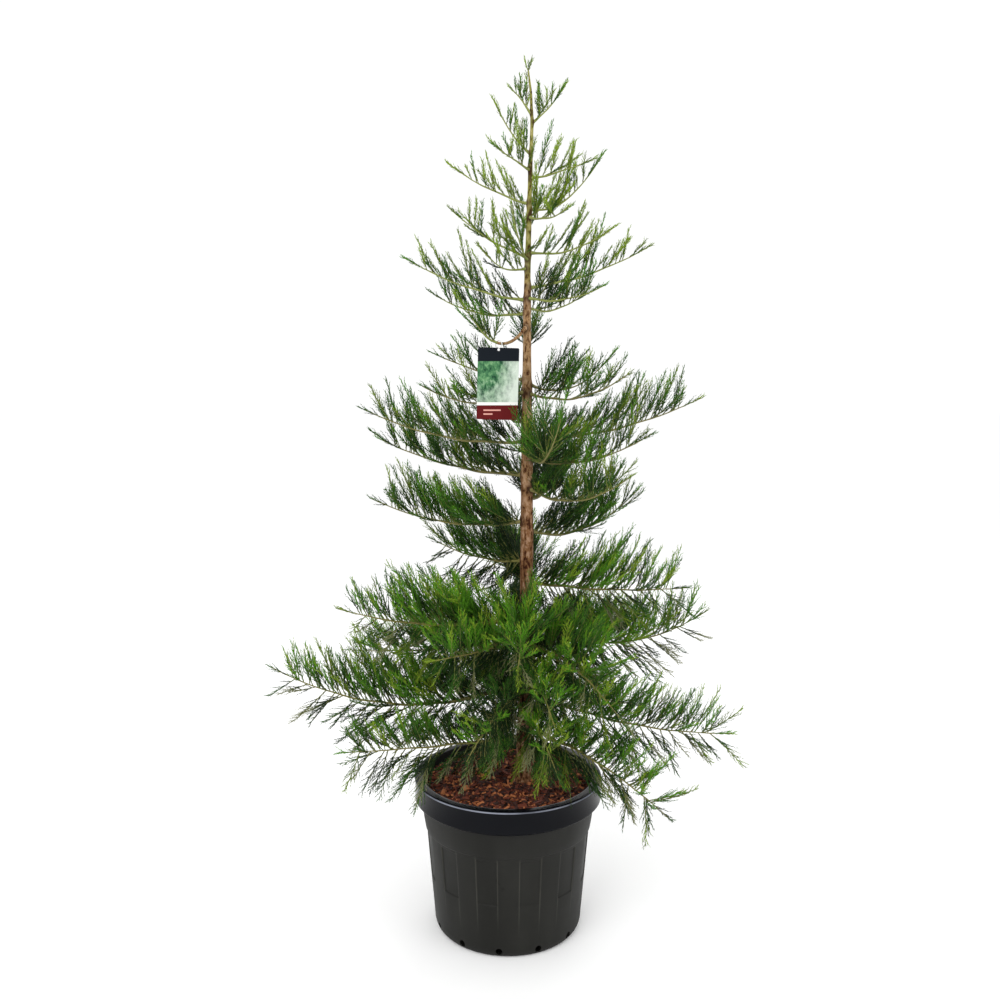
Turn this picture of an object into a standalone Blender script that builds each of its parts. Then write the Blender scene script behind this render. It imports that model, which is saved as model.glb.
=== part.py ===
"""A young giant sequoia in its nursery pot.

Metres, +Z up. The origin is at the middle of the pot's flat underside. Azimuth 0 is
+X and 90 is +Y; the side seen most often faces -Y.
"""

import math
import random
from collections import namedtuple

import bmesh
import bpy
import numpy as np
from mathutils import Matrix, Vector

# ---------------------------------------------------------------- driving sizes
GAP = 0.0003                # air between neighbouring pieces
UP = Vector((0.0, 0.0, 1.0))

# Pot: a turned nursery container with a deep lip, flutes and drain holes.
POT_HEIGHT = 0.330
RIM_RADIUS = 0.200          # outside of the lip
RIM_ROUND = 0.004           # size of the lip's rounded edge
LIP_DEPTH = 0.046           # straight height of the lip
LIP_TURN = 0.010            # height of the slope from the lip down to the collar
COLLAR_RADIUS = 0.183       # plain band under the lip
COLLAR_TOP = 0.262
COLLAR_FOOT = 0.222         # height where that band steps in to the wall
COLLAR_FOOT_RADIUS = 0.177
STEP_IN = 0.0025
BASE_RADIUS = 0.158         # wall radius just above the rounded foot
FOOT_RADIUS = 0.146         # radius of the flat underside
FOOT_HEIGHT = 0.022
WALL = 0.004
FLOOR = 0.004
POT_STEPS = 36
FLUTES = 12
FLUTE_HALF_ANGLE = 7.5      # degrees
FLUTE_LOW, FLUTE_HIGH = 0.115, 0.214
FLUTE_EDGE_DEPTH = 0.0012
CUTTER_DEPTH = 0.020        # how far the flute and hole cutters reach
HOLES = 12
HOLE_RADIUS = 0.007
HOLE_TURN = 8.0             # degrees past a flute's middle
HOLE_HEIGHT = 0.013
HOLE_SLANT = 75.0           # degrees from upright
SOIL_TOP = 0.312

# Trunk: height, sideways and backward offset from the pot's axis, radius.
TRUNK_STATIONS = [
    (0.000, 0.033, 0.000, 0.0240),
    (0.012, 0.033, 0.000, 0.0195),
    (0.045, 0.034, 0.001, 0.0165),
    (0.250, 0.038, 0.003, 0.0150),
    (0.500, 0.039, 0.000, 0.0135),
    (0.720, 0.0385, -0.003, 0.0115),
    (0.880, 0.038, -0.002, 0.0090),
    (1.040, 0.038, 0.001, 0.0065),
    (1.210, 0.042, 0.003, 0.0046),
    (1.360, 0.0465, 0.001, 0.0032),
    (1.415, 0.044, -0.001, 0.0026),
    (1.456, 0.039, -0.002, 0.0014),
]
TRUNK_TOP = SOIL_TOP + GAP + TRUNK_STATIONS[-1][0]
TRUNK_SIDES = 10

# Boughs: height where the bough's line leaves the trunk's middle, azimuth, level
# reach, rise at half reach and at the tip, and the bare limb's length (0 where the
# foliage springs from the trunk itself).
Bough = namedtuple("Bough", "name height azimuth reach half rise limb")
BOUGHS = [
    Bough("left_1", 1.685, 200, 0.050, 0.030, 0.050, 0.0),
    Bough("right_1", 1.670, 20, 0.075, 0.035, 0.085, 0.0),
    Bough("left_2", 1.610, 165, 0.080, 0.045, 0.115, 0.0),
    Bough("left_3", 1.580, 225, 0.110, 0.015, 0.035, 0.0),
    Bough("right_2", 1.565, -35, 0.150, 0.005, 0.020, 0.0),
    Bough("left_4", 1.515, 180, 0.165, 0.030, 0.080, 0.0),
    Bough("right_3", 1.505, 20, 0.165, 0.025, 0.125, 0.0),
    Bough("right_4", 1.490, -65, 0.170, -0.015, -0.005, 0.0),
    Bough("back_1", 1.465, 95, 0.140, 0.025, 0.090, 0.0),
    Bough("right_5", 1.420, -25, 0.185, 0.000, 0.040, 0.0),
    Bough("left_5", 1.410, 150, 0.190, 0.045, 0.115, 0.0),
    Bough("front_1", 1.405, 255, 0.140, 0.025, 0.090, 0.0),
    Bough("left_6", 1.390, 220, 0.130, -0.005, 0.035, 0.0),
    Bough("right_6", 1.350, 10, 0.260, 0.030, 0.090, 0.0),
    Bough("right_7", 1.330, -50, 0.220, -0.010, 0.010, 0.0),
    Bough("left_7", 1.325, 190, 0.250, 0.025, 0.080, 0.0),
    Bough("right_8", 1.310, 45, 0.200, 0.005, 0.055, 0.0),
    Bough("left_8", 1.300, 150, 0.240, 0.005, 0.055, 0.0),
    Bough("front_2", 1.275, 240, 0.215, -0.040, 0.005, 0.120),
    Bough("back_2", 1.240, 85, 0.220, 0.005, 0.065, 0.0),
    Bough("left_9", 1.165, 155, 0.225, 0.020, 0.060, 0.0),
    Bough("right_9", 1.160, 10, 0.190, -0.010, 0.070, 0.0),
    Bough("left_10", 1.145, 210, 0.240, -0.025, 0.010, 0.0),
    Bough("right_10", 1.140, -40, 0.250, -0.010, 0.040, 0.0),
    Bough("back_3", 1.080, 105, 0.280, 0.005, 0.060, 0.0),
    Bough("right_11", 1.045, 0, 0.360, 0.020, 0.085, 0.0),
    Bough("left_11", 1.040, 185, 0.340, 0.010, 0.070, 0.0),
    Bough("front_3", 1.030, -80, 0.300, -0.020, 0.070, 0.0),
    Bough("right_12", 1.005, -30, 0.275, 0.000, 0.060, 0.0),
    Bough("left_12", 0.970, 155, 0.365, 0.015, 0.070, 0.0),
    Bough("right_13", 0.945, -50, 0.290, -0.015, 0.045, 0.0),
    Bough("back_4", 0.920, 70, 0.320, 0.005, 0.060, 0.0),
    Bough("left_13", 0.875, 190, 0.325, 0.000, 0.055, 0.0),
    Bough("right_14", 0.855, 25, 0.280, -0.005, 0.080, 0.0),
    Bough("left_14", 0.790, 145, 0.260, -0.005, 0.025, 0.0),
    Bough("right_15", 0.745, -10, 0.335, -0.010, 0.000, 0.0),
    Bough("back_5", 0.740, 95, 0.370, 0.000, 0.045, 0.0),
    Bough("left_16", 0.670, 200, 0.400, 0.000, 0.050, 0.070),
    Bough("right_16", 0.665, 5, 0.390, -0.055, 0.010, 0.0),
    Bough("front_4", 0.650, -95, 0.270, 0.000, -0.020, 0.0),
    Bough("left_15", 0.620, 150, 0.485, -0.055, -0.090, 0.0),
    Bough("front_5", 0.610, -56, 0.320, -0.010, -0.085, 0.0),
    Bough("front_6", 0.625, -132, 0.290, 0.000, 0.010, 0.0),
    Bough("front_7", 0.560, -80, 0.280, 0.000, -0.040, 0.0),
    Bough("front_8", 0.510, -114, 0.290, -0.005, -0.055, 0.0),
    Bough("front_9", 0.450, -78, 0.260, 0.010, -0.020, 0.0),
    Bough("back_6", 0.570, 48, 0.400, -0.005, 0.020, 0.0),
    Bough("left_17", 0.535, 190, 0.530, -0.040, 0.055, 0.085),
    Bough("right_17", 0.510, -20, 0.435, -0.045, -0.040, 0.0),
    Bough("right_18", 0.425, -45, 0.380, -0.015, -0.080, 0.0),
    Bough("left_18", 0.410, 205, 0.410, 0.010, 0.030, 0.0),
    Bough("back_7", 0.465, 112, 0.370, 0.000, 0.010, 0.0),
]
LEADER_HEIGHT = 0.022       # the tuft that tops the trunk

# Twigs: the rule that every mass of foliage grows by.
SEED = 1853
TWIG_SPACING = 0.041        # between side sprays along a stem
STEM_ROOT_RADIUS = 0.0046   # a stem's radius for a bough of full reach
STEM_TIP_RADIUS = 0.0020
TIP_SPRAY = 0.055           # the spray that ends a stem, or less on a short bough
TWIG_REACH = 0.050          # shortest side spray
TWIG_REACH_SHARE = 0.32     # and what each metre of the bough's reach adds to it
LONGEST_SPRAY = 0.150
TWIG_SHRINK = 0.58          # share of its length a spray loses at the bough's tip
TWIG_ANGLE = 50.0           # degrees between a stem and its side sprays
TWIG_LIFT = 0.25            # how much a side spray turns up
TWIG_ROLLS = (28.0, -32.0, 72.0, -4.0, -75.0, 44.0, -48.0)    # degrees from straight up
HANG_BELOW = 0.80           # boughs lower than this have some hanging sprays
HANG_ROLL = 165.0
TUFT_SPACING = 0.048        # between pairs of needle tufts along a spray
MOST_TUFTS = 4
SPRAY_WIDTH = 0.31          # a spray's half width as a share of its length
SPRAY_SWEEP = 0.62          # how far a tuft leans forward for its width
SPRAY_NECK = 0.86           # station of the last notch
SPRAY_CORE = 0.0017         # half thickness of the core that the needles stand out of
SHORTER = (1.0, 0.85, 0.7, 0.55)     # a spray that doesn't fit is tried shorter
CLEARANCE = 0.001           # least air between a spray and the trunk or a limb
LIMB_RADIUS = 0.0058
LIMB_TIP_RADIUS = 0.0048
LIMB_THINNING = 0.35        # share of its thickness that a limb in the upper crown lacks
LIMB_PIECES = 4             # straight pieces that a limb's curve is made of
LINE_PIECES = 8             # and those that a mass's space is measured from
STEM_PIECE = 0.078          # length of a stem's straight pieces
LOWEST_TWIG = 0.345         # foliage over the pot stays above this

# Tag: a plain card whose strap loops over the bough front_2.
TAG_BOUGH = "front_2"
TAG_PLACE = 0.115           # level distance out along that bough
TAG_WIDTH = 0.080
TAG_HEIGHT = 0.139
TAG_THICKNESS = 0.0010
TAG_LOOP_RADIUS = 0.0072
TAG_STRAP_RADIUS = 0.0009
TAG_LEAN = 1.5              # degrees, clockwise as seen from -Y
TAG_CLEARANCE = 0.006       # air kept between the tag and the foliage


# ---------------------------------------------------------------- scene helpers
def clear_scene():
    """Remove whatever the file starts with."""
    for obj in list(bpy.data.objects):
        bpy.data.objects.remove(obj, do_unlink=True)


def new_collection(name):
    """A fresh collection under the scene's own."""
    collection = bpy.data.collections.new(name)
    bpy.context.scene.collection.children.link(collection)
    return collection


def material(name, colour, roughness):
    """A plain Principled material."""
    mat = bpy.data.materials.new(name)
    mat.use_nodes = True
    shader = mat.node_tree.nodes["Principled BSDF"]
    shader.inputs["Base Color"].default_value = (*colour, 1.0)
    shader.inputs["Roughness"].default_value = roughness
    return mat


def add_object(name, data, collection, mat=None):
    """Wrap a mesh or curve in an object inside the collection."""
    obj = bpy.data.objects.new(name, data)
    collection.objects.link(obj)
    if mat is not None:
        data.materials.append(mat)
    return obj


def hide_helper(obj):
    """Mark a cutter, so that it is no part of the model."""
    obj.hide_render = True
    obj.display_type = "WIRE"


def bake(obj):
    """Swap an object's data for its evaluated mesh, caps welded and modifiers applied."""
    graph = bpy.context.evaluated_depsgraph_get()
    mesh = bpy.data.meshes.new_from_object(obj.evaluated_get(graph))
    weld(mesh)
    baked = bpy.data.objects.new(obj.name + "_solid", mesh)
    for collection in obj.users_collection:
        collection.objects.link(baked)
    baked.matrix_world = obj.matrix_world.copy()
    name = obj.name
    bpy.data.objects.remove(obj, do_unlink=True)
    baked.name = name
    return baked


def weld(mesh):
    """Merge doubled points and turn every face outwards."""
    shape = bmesh.new()
    shape.from_mesh(mesh)
    bmesh.ops.remove_doubles(shape, verts=shape.verts, dist=1e-6)
    bmesh.ops.recalc_face_normals(shape, faces=shape.faces)
    shape.to_mesh(mesh)
    shape.free()


def boolean(obj, operation, other=None, collection=None):
    """Add an EXACT Boolean with one object or with all of a collection."""
    modifier = obj.modifiers.new(operation.title(), "BOOLEAN")
    modifier.operation = operation
    modifier.solver = "EXACT"
    if collection is not None:
        modifier.operand_type = "COLLECTION"
        modifier.collection = collection
    else:
        modifier.object = other
    return modifier


def turned(name, profile, collection, mat):
    """A profile at +X turned round the Z axis."""
    mesh = bpy.data.meshes.new(name)
    edges = [(i, i + 1) for i in range(len(profile) - 1)]
    mesh.from_pydata([(r, 0.0, z) for r, z in profile], edges, [])
    obj = add_object(name, mesh, collection, mat)
    screw = obj.modifiers.new("Screw", "SCREW")
    screw.steps = POT_STEPS
    screw.render_steps = POT_STEPS
    screw.use_merge_vertices = True
    screw.merge_threshold = 1e-5
    return bake(obj)


def tube(name, points, radii, sides, collection, mat=None):
    """A tapering rod along a path: a curve swept with a regular polygon."""
    outline = bpy.data.curves.new(name + "_outline", "CURVE")
    outline.dimensions = "2D"
    ring = outline.splines.new("POLY")
    ring.points.add(sides - 1)
    ring.use_cyclic_u = True
    for i, point in enumerate(ring.points):
        angle = 2.0 * math.pi * i / sides
        point.co = (math.cos(angle), math.sin(angle), 0.0, 1.0)
    outline_object = add_object(name + "_outline", outline, collection)

    curve = bpy.data.curves.new(name, "CURVE")
    curve.dimensions = "3D"
    curve.twist_mode = "MINIMUM"
    curve.bevel_mode = "OBJECT"
    curve.bevel_object = outline_object
    curve.use_fill_caps = True
    path = curve.splines.new("POLY")
    path.points.add(len(points) - 1)
    for point, place, radius in zip(path.points, points, radii):
        point.co = (*place, 1.0)
        point.radius = radius
    rod = bake(add_object(name, curve, collection, mat))
    bpy.data.objects.remove(outline_object, do_unlink=True)
    return rod


# ---------------------------------------------------------------- pot and soil
def wall_radius(height):
    """Outer radius of the pot's wall between the foot and the collar."""
    share = (height - FOOT_HEIGHT) / (COLLAR_FOOT - FOOT_HEIGHT)
    return BASE_RADIUS + share * (COLLAR_FOOT_RADIUS - STEP_IN - BASE_RADIUS)


def inner_radius(height):
    """Inner radius of the pot, one straight cone from its foot to its mouth."""
    return wall_radius(height) - WALL


def build_pot(collection, cutters):
    """The container, with flutes round its wall and drain holes round its foot."""
    lip_foot = POT_HEIGHT - LIP_DEPTH
    mouth = inner_radius(POT_HEIGHT)
    profile = [
        (mouth, POT_HEIGHT - 0.5 * RIM_ROUND),
        (mouth + 0.5 * RIM_ROUND, POT_HEIGHT),
        (RIM_RADIUS - RIM_ROUND, POT_HEIGHT),
        (RIM_RADIUS, POT_HEIGHT - RIM_ROUND),
        (RIM_RADIUS - 0.25 * RIM_ROUND, lip_foot),
        (COLLAR_RADIUS + 0.25 * RIM_ROUND, lip_foot - LIP_TURN),
        (COLLAR_RADIUS, COLLAR_TOP),
        (COLLAR_FOOT_RADIUS, COLLAR_FOOT),
        (wall_radius(COLLAR_FOOT), COLLAR_FOOT - STEP_IN),
        (wall_radius(FOOT_HEIGHT), FOOT_HEIGHT),
        (BASE_RADIUS - 0.33 * (BASE_RADIUS - FOOT_RADIUS), 0.3 * FOOT_HEIGHT),
        (FOOT_RADIUS, 0.0),
        (0.0, 0.0),
        (0.0, FLOOR),
        (FOOT_RADIUS - WALL, FLOOR),
        (inner_radius(FOOT_HEIGHT), FOOT_HEIGHT),
        (mouth, POT_HEIGHT - 0.5 * RIM_ROUND),
    ]
    pot = turned("pot", profile, collection, material("pot", (0.022, 0.022, 0.020), 0.5))
    for i in range(FLUTES):
        boolean(pot, "DIFFERENCE", flute_cutter(i, cutters))
    for i in range(HOLES):
        boolean(pot, "DIFFERENCE", hole_cutter(i, cutters))
    return pot


def flute_cutter(index, cutters):
    """A flat-bottomed block that leans with the wall and cuts one flute."""
    middle = 0.5 * (FLUTE_LOW + FLUTE_HIGH)
    radius = wall_radius(middle)
    half = math.radians(FLUTE_HALF_ANGLE)
    lean = math.atan2(wall_radius(FLUTE_HIGH) - wall_radius(FLUTE_LOW), FLUTE_HIGH - FLUTE_LOW)
    face = radius * math.cos(half) - FLUTE_EDGE_DEPTH
    size = (CUTTER_DEPTH, 2.0 * radius * math.sin(half), FLUTE_HIGH - FLUTE_LOW)
    shape = bmesh.new()
    bmesh.ops.create_cube(shape, size=1.0, matrix=Matrix.Diagonal((*size, 1.0)))
    place = Matrix.Rotation(2.0 * math.pi * (index + 0.5) / FLUTES, 4, "Z")
    place @= Matrix.Translation((face + 0.5 * CUTTER_DEPTH, 0.0, middle))
    place @= Matrix.Rotation(lean, 4, "Y")
    shape.transform(place)
    mesh = bpy.data.meshes.new("flute_cutter")
    shape.to_mesh(mesh)
    shape.free()
    cutter = add_object(f"flute_cutter_{index + 1}", mesh, cutters)
    hide_helper(cutter)
    return cutter


def hole_cutter(index, cutters):
    """A slanting cylinder through the rounded foot for one drain hole."""
    shape = bmesh.new()
    bmesh.ops.create_cone(shape, cap_ends=True, segments=6, radius1=HOLE_RADIUS,
                          radius2=HOLE_RADIUS, depth=1.5 * CUTTER_DEPTH)
    turn = 2.0 * math.pi * (index + 0.5) / HOLES + math.radians(HOLE_TURN)
    place = Matrix.Rotation(turn, 4, "Z")
    place @= Matrix.Translation((BASE_RADIUS - WALL, 0.0, HOLE_HEIGHT))
    place @= Matrix.Rotation(math.radians(HOLE_SLANT), 4, "Y")
    shape.transform(place)
    mesh = bpy.data.meshes.new("hole_cutter")
    shape.to_mesh(mesh)
    shape.free()
    cutter = add_object(f"hole_cutter_{index + 1}", mesh, cutters)
    hide_helper(cutter)
    return cutter


def build_soil(collection):
    """The bark mulch that fills the pot, level on top."""
    profile = [
        (0.0, SOIL_TOP),
        (inner_radius(SOIL_TOP) - 2.0 * GAP, SOIL_TOP),
        (inner_radius(FOOT_HEIGHT) - 2.0 * GAP, FOOT_HEIGHT),
        (FOOT_RADIUS - WALL - 2.0 * GAP, FLOOR + GAP),
        (0.0, FLOOR + GAP),
    ]
    return turned("mulch", profile, collection, material("mulch", (0.10, 0.035, 0.018), 0.95))


# ---------------------------------------------------------------- trunk and lines
def trunk_at(height):
    """The trunk's middle and radius at a height above the floor."""
    above = height - SOIL_TOP - GAP
    heights = [station[0] for station in TRUNK_STATIONS]
    x, y, radius = (np.interp(above, heights, [s[k] for s in TRUNK_STATIONS]) for k in (1, 2, 3))
    return Vector((x, y, height)), float(radius)


def trunk_rings():
    """The trunk's middle and radius at each of its stations."""
    return [trunk_at(SOIL_TOP + GAP + station[0]) for station in TRUNK_STATIONS]


def build_trunk(collection, bark):
    """One tapering stem from its flat cut and root flare to its tip."""
    rings = trunk_rings()
    return tube("trunk", [p for p, _ in rings], [r for _, r in rings], TRUNK_SIDES, collection, bark)


def build_sleeve(cutters):
    """The trunk, a hair fatter, that limbs and stems are cut to fit."""
    rings = trunk_rings()
    radii = [radius + 1.3 * GAP for _, radius in rings]
    sleeve = tube("trunk_sleeve", [p for p, _ in rings], radii, TRUNK_SIDES, cutters)
    hide_helper(sleeve)
    return sleeve


def bough_point(bough, out):
    """A point on a bough's line, at a level distance out from the trunk's middle."""
    share = out / bough.reach
    curl = 2.0 * bough.rise - 4.0 * bough.half
    slope = 4.0 * bough.half - bough.rise
    angle = math.radians(bough.azimuth)
    level = Vector((math.cos(angle), math.sin(angle), 0.0)) * out
    root, _ = trunk_at(bough.height)
    return root + level + UP * (slope * share + curl * share * share)


def direction(bough, out):
    """A bough's direction at a level distance out."""
    return (bough_point(bough, out + 0.002) - bough_point(bough, out - 0.002)).normalized()


def line_between(bough, start, end, pieces):
    """Evenly spaced points along a bough's line."""
    step = (end - start) / pieces
    return [bough_point(bough, start + i * step) for i in range(pieces + 1)]


def clear_of_trunk(bough):
    """The level distance at which a bough's line leaves the bark."""
    _, radius = trunk_at(bough.height)
    return radius + 2.0 * GAP


def limb_radius(bough, out):
    """A bare limb's radius at a level distance out from the trunk."""
    climb = min(1.0, max(0.0, (bough.height - 0.70) / 0.60))
    taper = LIMB_RADIUS + (LIMB_TIP_RADIUS - LIMB_RADIUS) * out / bough.limb
    return taper * (1.0 - LIMB_THINNING * climb)


def build_limb(bough, sleeve, collection, bark):
    """A bare tapering limb, its root shaped to the trunk with a hair of air."""
    points = line_between(bough, 0.0, bough.limb, LIMB_PIECES)
    radii = [limb_radius(bough, bough.limb * i / LIMB_PIECES) for i in range(LIMB_PIECES + 1)]
    limb = tube(f"bough_{bough.name}", points, radii, 6, collection, bark)
    boolean(limb, "DIFFERENCE", sleeve)
    return bake(limb)


# ---------------------------------------------------------------- spaces
class Spaces:
    """Knows each mass's stem, and the limbs that no twig may touch."""

    def __init__(self):
        starts, ends, owners = [], [], []
        for index, bough in enumerate(BOUGHS):
            points = line_between(bough, clear_of_trunk(bough), bough.reach, LINE_PIECES)
            starts += points[:-1]
            ends += points[1:]
            owners += [index] * LINE_PIECES
        self.stems = (np.array(starts), np.array(ends), np.array(owners))
        self.limbs = self.limb_segments()

    @staticmethod
    def limb_segments():
        """The trunk and every bare limb as straight pieces with a radius."""
        rings = trunk_rings()
        starts = [p for p, _ in rings[:-1]]
        ends = [p for p, _ in rings[1:]]
        radii = [r for _, r in rings[:-1]]
        for bough in BOUGHS:
            if bough.limb:
                points = line_between(bough, 0.0, bough.limb, LIMB_PIECES)
                starts += points[:-1]
                ends += points[1:]
                radii += [limb_radius(bough, 0.0)] * LIMB_PIECES
        return np.array(starts), np.array(ends), np.array(radii)

    @staticmethod
    def distances(point, starts, ends):
        """Distance from a point to each straight piece."""
        along = ends - starts
        share = ((point - starts) * along).sum(1) / (along * along).sum(1)
        nearest = starts + along * np.clip(share, 0.0, 1.0)[:, None]
        return np.linalg.norm(nearest - point, axis=1)

    def free(self, point, radius, owner):
        """True where a twig of this radius is in its own mass's space."""
        spot = np.array(point)
        starts, ends, owners = self.stems
        away = self.distances(spot, starts, ends)
        others = away[owners != owner].min()
        own = away[owners == owner].min()
        if own + 2.0 * radius + 2.0 * GAP > others:
            return False
        starts, ends, radii = self.limbs
        if (self.distances(spot, starts, ends) < radii + radius + CLEARANCE).any():
            return False
        return not (in_pot(point, radius) or near_tag(point, radius))


def in_pot(point, radius):
    """True over the pot or inside it, lower than the foliage may hang."""
    over = math.hypot(point.x, point.y) < RIM_RADIUS + radius + CLEARANCE
    return over and point.z < LOWEST_TWIG + radius


def tag_frame():
    """Where the tag's loop hangs, and the bough's direction there."""
    bough = next(b for b in BOUGHS if b.name == TAG_BOUGH)
    return bough_point(bough, TAG_PLACE), direction(bough, TAG_PLACE)


def near_tag(point, radius):
    """True in the box that the card and its loop need."""
    here, _ = tag_frame()
    margin = radius + TAG_CLEARANCE
    below = here.z + TAG_LOOP_RADIUS - point.z
    return (abs(point.x - here.x) < 0.5 * TAG_WIDTH + margin
            and abs(point.y - here.y) < TAG_LOOP_RADIUS + margin
            and -margin < below < TAG_HEIGHT + 3.0 * TAG_LOOP_RADIUS + margin)


# ---------------------------------------------------------------- foliage
class Spray:
    """A toothed blade of needles: a slim core with pairs of pointed tufts."""

    def __init__(self, start, way, length, parent, turn):
        """The blade lies in the plane of its parent's direction, turned about its core."""
        level = (parent - way * parent.dot(way)).normalized()
        rise = level.cross(way)
        self.start = start
        self.way = way
        self.length = length
        self.side = level * math.cos(turn) + rise * math.sin(turn)
        self.top = self.side.cross(way)

    def at(self, along, aside=0.0, above=0.0):
        """A point by its station, as a share of the length, and its offsets in metres."""
        return self.start + self.way * (along * self.length) + self.side * aside + self.top * above

    def tufts(self):
        """Station, tip station and half width of each pair of tufts, root to tip."""
        count = min(MOST_TUFTS, max(2, round(self.length / TUFT_SPACING)))
        step = SPRAY_NECK / count
        rows = []
        for i in range(count):
            width = SPRAY_WIDTH * self.length * (0.62 + 0.38 * math.sin(math.pi * (i + 0.7) / count))
            rows.append((i * step, (i + 1) * step + SPRAY_SWEEP * width / self.length, width))
        return rows

    def ring(self, shape, station, core):
        """Left, top, right and keel points of the slim core."""
        places = ((core, 0.0), (0.0, core), (-core, 0.0), (0.0, -core))
        return [shape.verts.new(self.at(station, aside, above)) for aside, above in places]

    def probes(self):
        """Points that must all be free for the spray to fit."""
        points = [self.at(share) for share in (0.3, 0.5, 0.75, 1.0)]
        for root, tip, width in self.tufts():
            for share in (0.35, 0.7, 1.0):
                station = root + (tip - root) * share
                points += [self.at(station, width * share), self.at(station, -width * share)]
        return points

    def build(self, collection):
        """The spray as one closed mesh, faces between rings and tuft tips."""
        shape = bmesh.new()
        near = self.ring(shape, 0.0, 0.6 * SPRAY_CORE)
        shape.faces.new(reversed(near))
        tufts = self.tufts()
        step = SPRAY_NECK / len(tufts)
        for root, tip, width in tufts:
            far = self.ring(shape, root + step, SPRAY_CORE * (1.0 - 0.5 * root))
            tips = (shape.verts.new(self.at(tip, width)), shape.verts.new(self.at(tip, -width)))
            for edge, point in zip((0, 2), tips):
                for core in (1, 3):
                    shape.faces.new((near[core], near[edge], point))
                    shape.faces.new((near[core], point, far[edge]))
                    shape.faces.new((near[core], far[edge], far[core]))
            near = far
        apex = shape.verts.new(self.at(1.0))
        for i in range(4):
            shape.faces.new((near[i], near[(i + 1) % 4], apex))
        bmesh.ops.recalc_face_normals(shape, faces=shape.faces)
        mesh = bpy.data.meshes.new("spray")
        shape.to_mesh(mesh)
        shape.free()
        return add_object("spray", mesh, collection)


def leaning(along, roll, angle):
    """A direction at an angle to a stem, rolled round it from straight up."""
    side = along.cross(UP).normalized()
    top = side.cross(along)
    out = side * math.sin(roll) + top * math.cos(roll)
    lift = TWIG_LIFT * max(0.0, math.cos(roll))
    return (along * math.cos(angle) + out * math.sin(angle) + UP * lift).normalized()


def grow_spray(start, way, length, parent, turn, owner, spaces, collection):
    """A spray as long as fits in its own space, or none."""
    for share in SHORTER:
        spray = Spray(start, way, length * share, parent, turn)
        if all(spaces.free(point, SPRAY_CORE, owner) for point in spray.probes()):
            spray.build(collection)
            return


def stem_radius(bough, share):
    """A stem thins evenly to its tip; a longer bough starts thicker."""
    size = min(1.0, 0.30 + 1.8 * bough.reach)
    root = STEM_TIP_RADIUS + (STEM_ROOT_RADIUS - STEM_TIP_RADIUS) * size
    return root + (STEM_TIP_RADIUS - root) * share


def grow_mass(index, bough, spaces, sleeve, parts, green):
    """One mass of foliage: its stem and toothed sprays, joined as one solid.

    A stem either meets its limb's end squarely or is cut to fit the trunk.
    """
    rng = random.Random(SEED + index)
    start = bough.limb + 2.0 * GAP if bough.limb else 0.0
    tip_spray = min(TIP_SPRAY, 0.4 * bough.reach)
    end = bough.reach - 0.8 * tip_spray
    pieces = max(2, round((end - start) / STEM_PIECE))
    points = line_between(bough, start, end, pieces)
    radii = [stem_radius(bough, i / pieces) for i in range(pieces + 1)]
    mass = tube(f"foliage_{bough.name}", points, radii, 3, parts, green)
    if not bough.limb:
        boolean(mass, "DIFFERENCE", sleeve)

    sprays = new_collection("sprays")
    root = points[-1].lerp(points[-2], 0.15)
    tip = bough_point(bough, bough.reach)
    Spray(root, (tip - root).normalized(), (tip - root).length, UP, rng.uniform(-0.5, 0.5)).build(sprays)

    longest = min(LONGEST_SPRAY, TWIG_REACH + TWIG_REACH_SHARE * bough.reach)
    first = max(start, clear_of_trunk(bough))
    count = max(2, round((end - first) / TWIG_SPACING))
    for k in range(count):
        share = (k + 0.6) / count
        out = first + (end - first) * share
        here = on_chords(points, (out - start) / (end - start))
        along = direction(bough, out)
        roll = TWIG_ROLLS[(k + index) % len(TWIG_ROLLS)] + rng.uniform(-15.0, 15.0)
        if bough.height < HANG_BELOW and k % 3 == 1:
            roll = math.copysign(HANG_ROLL, roll) + rng.uniform(-20.0, 20.0)
        angle = math.radians(TWIG_ANGLE + rng.uniform(-8.0, 8.0))
        way = leaning(along, math.radians(roll), angle)
        length = longest * (1.0 - TWIG_SHRINK * share) * rng.uniform(0.85, 1.1)
        grow_spray(here, way, length, along, rng.uniform(-0.3, 0.3), index, spaces, sprays)
    return join(mass, sprays)


def on_chords(points, share):
    """A point at a share of the way along a line of evenly spaced points."""
    place = share * (len(points) - 1)
    i = min(int(place), len(points) - 2)
    return points[i].lerp(points[i + 1], place - i)


def join(mass, pieces):
    """Fuse a collection's pieces onto a solid and remove them."""
    boolean(mass, "UNION", collection=pieces)
    joined = bake(mass)
    for obj in list(pieces.objects):
        bpy.data.objects.remove(obj, do_unlink=True)
    bpy.data.collections.remove(pieces)
    return joined


def grow_leader(parts, green):
    """The tuft that tops the trunk."""
    rng = random.Random(SEED)
    tip, radius = trunk_at(TRUNK_TOP)
    start = tip + UP * GAP
    middle = start + UP * (0.4 * LEADER_HEIGHT)
    mass = tube("foliage_leader", [start, middle], [radius, radius * 0.9], 3, parts, green)
    sprays = new_collection("sprays")
    for k, turn in enumerate((200.0, 320.0, 80.0)):
        angle = math.radians(turn)
        way = Vector((math.cos(angle), math.sin(angle), 2.0 - 0.4 * k)).normalized()
        root = start + UP * (0.003 + 0.002 * k)
        length = (LEADER_HEIGHT - 0.002 * k) * rng.uniform(0.95, 1.05)
        Spray(root, way, length, UP, 0.2).build(sprays)
    return join(mass, sprays)


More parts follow.
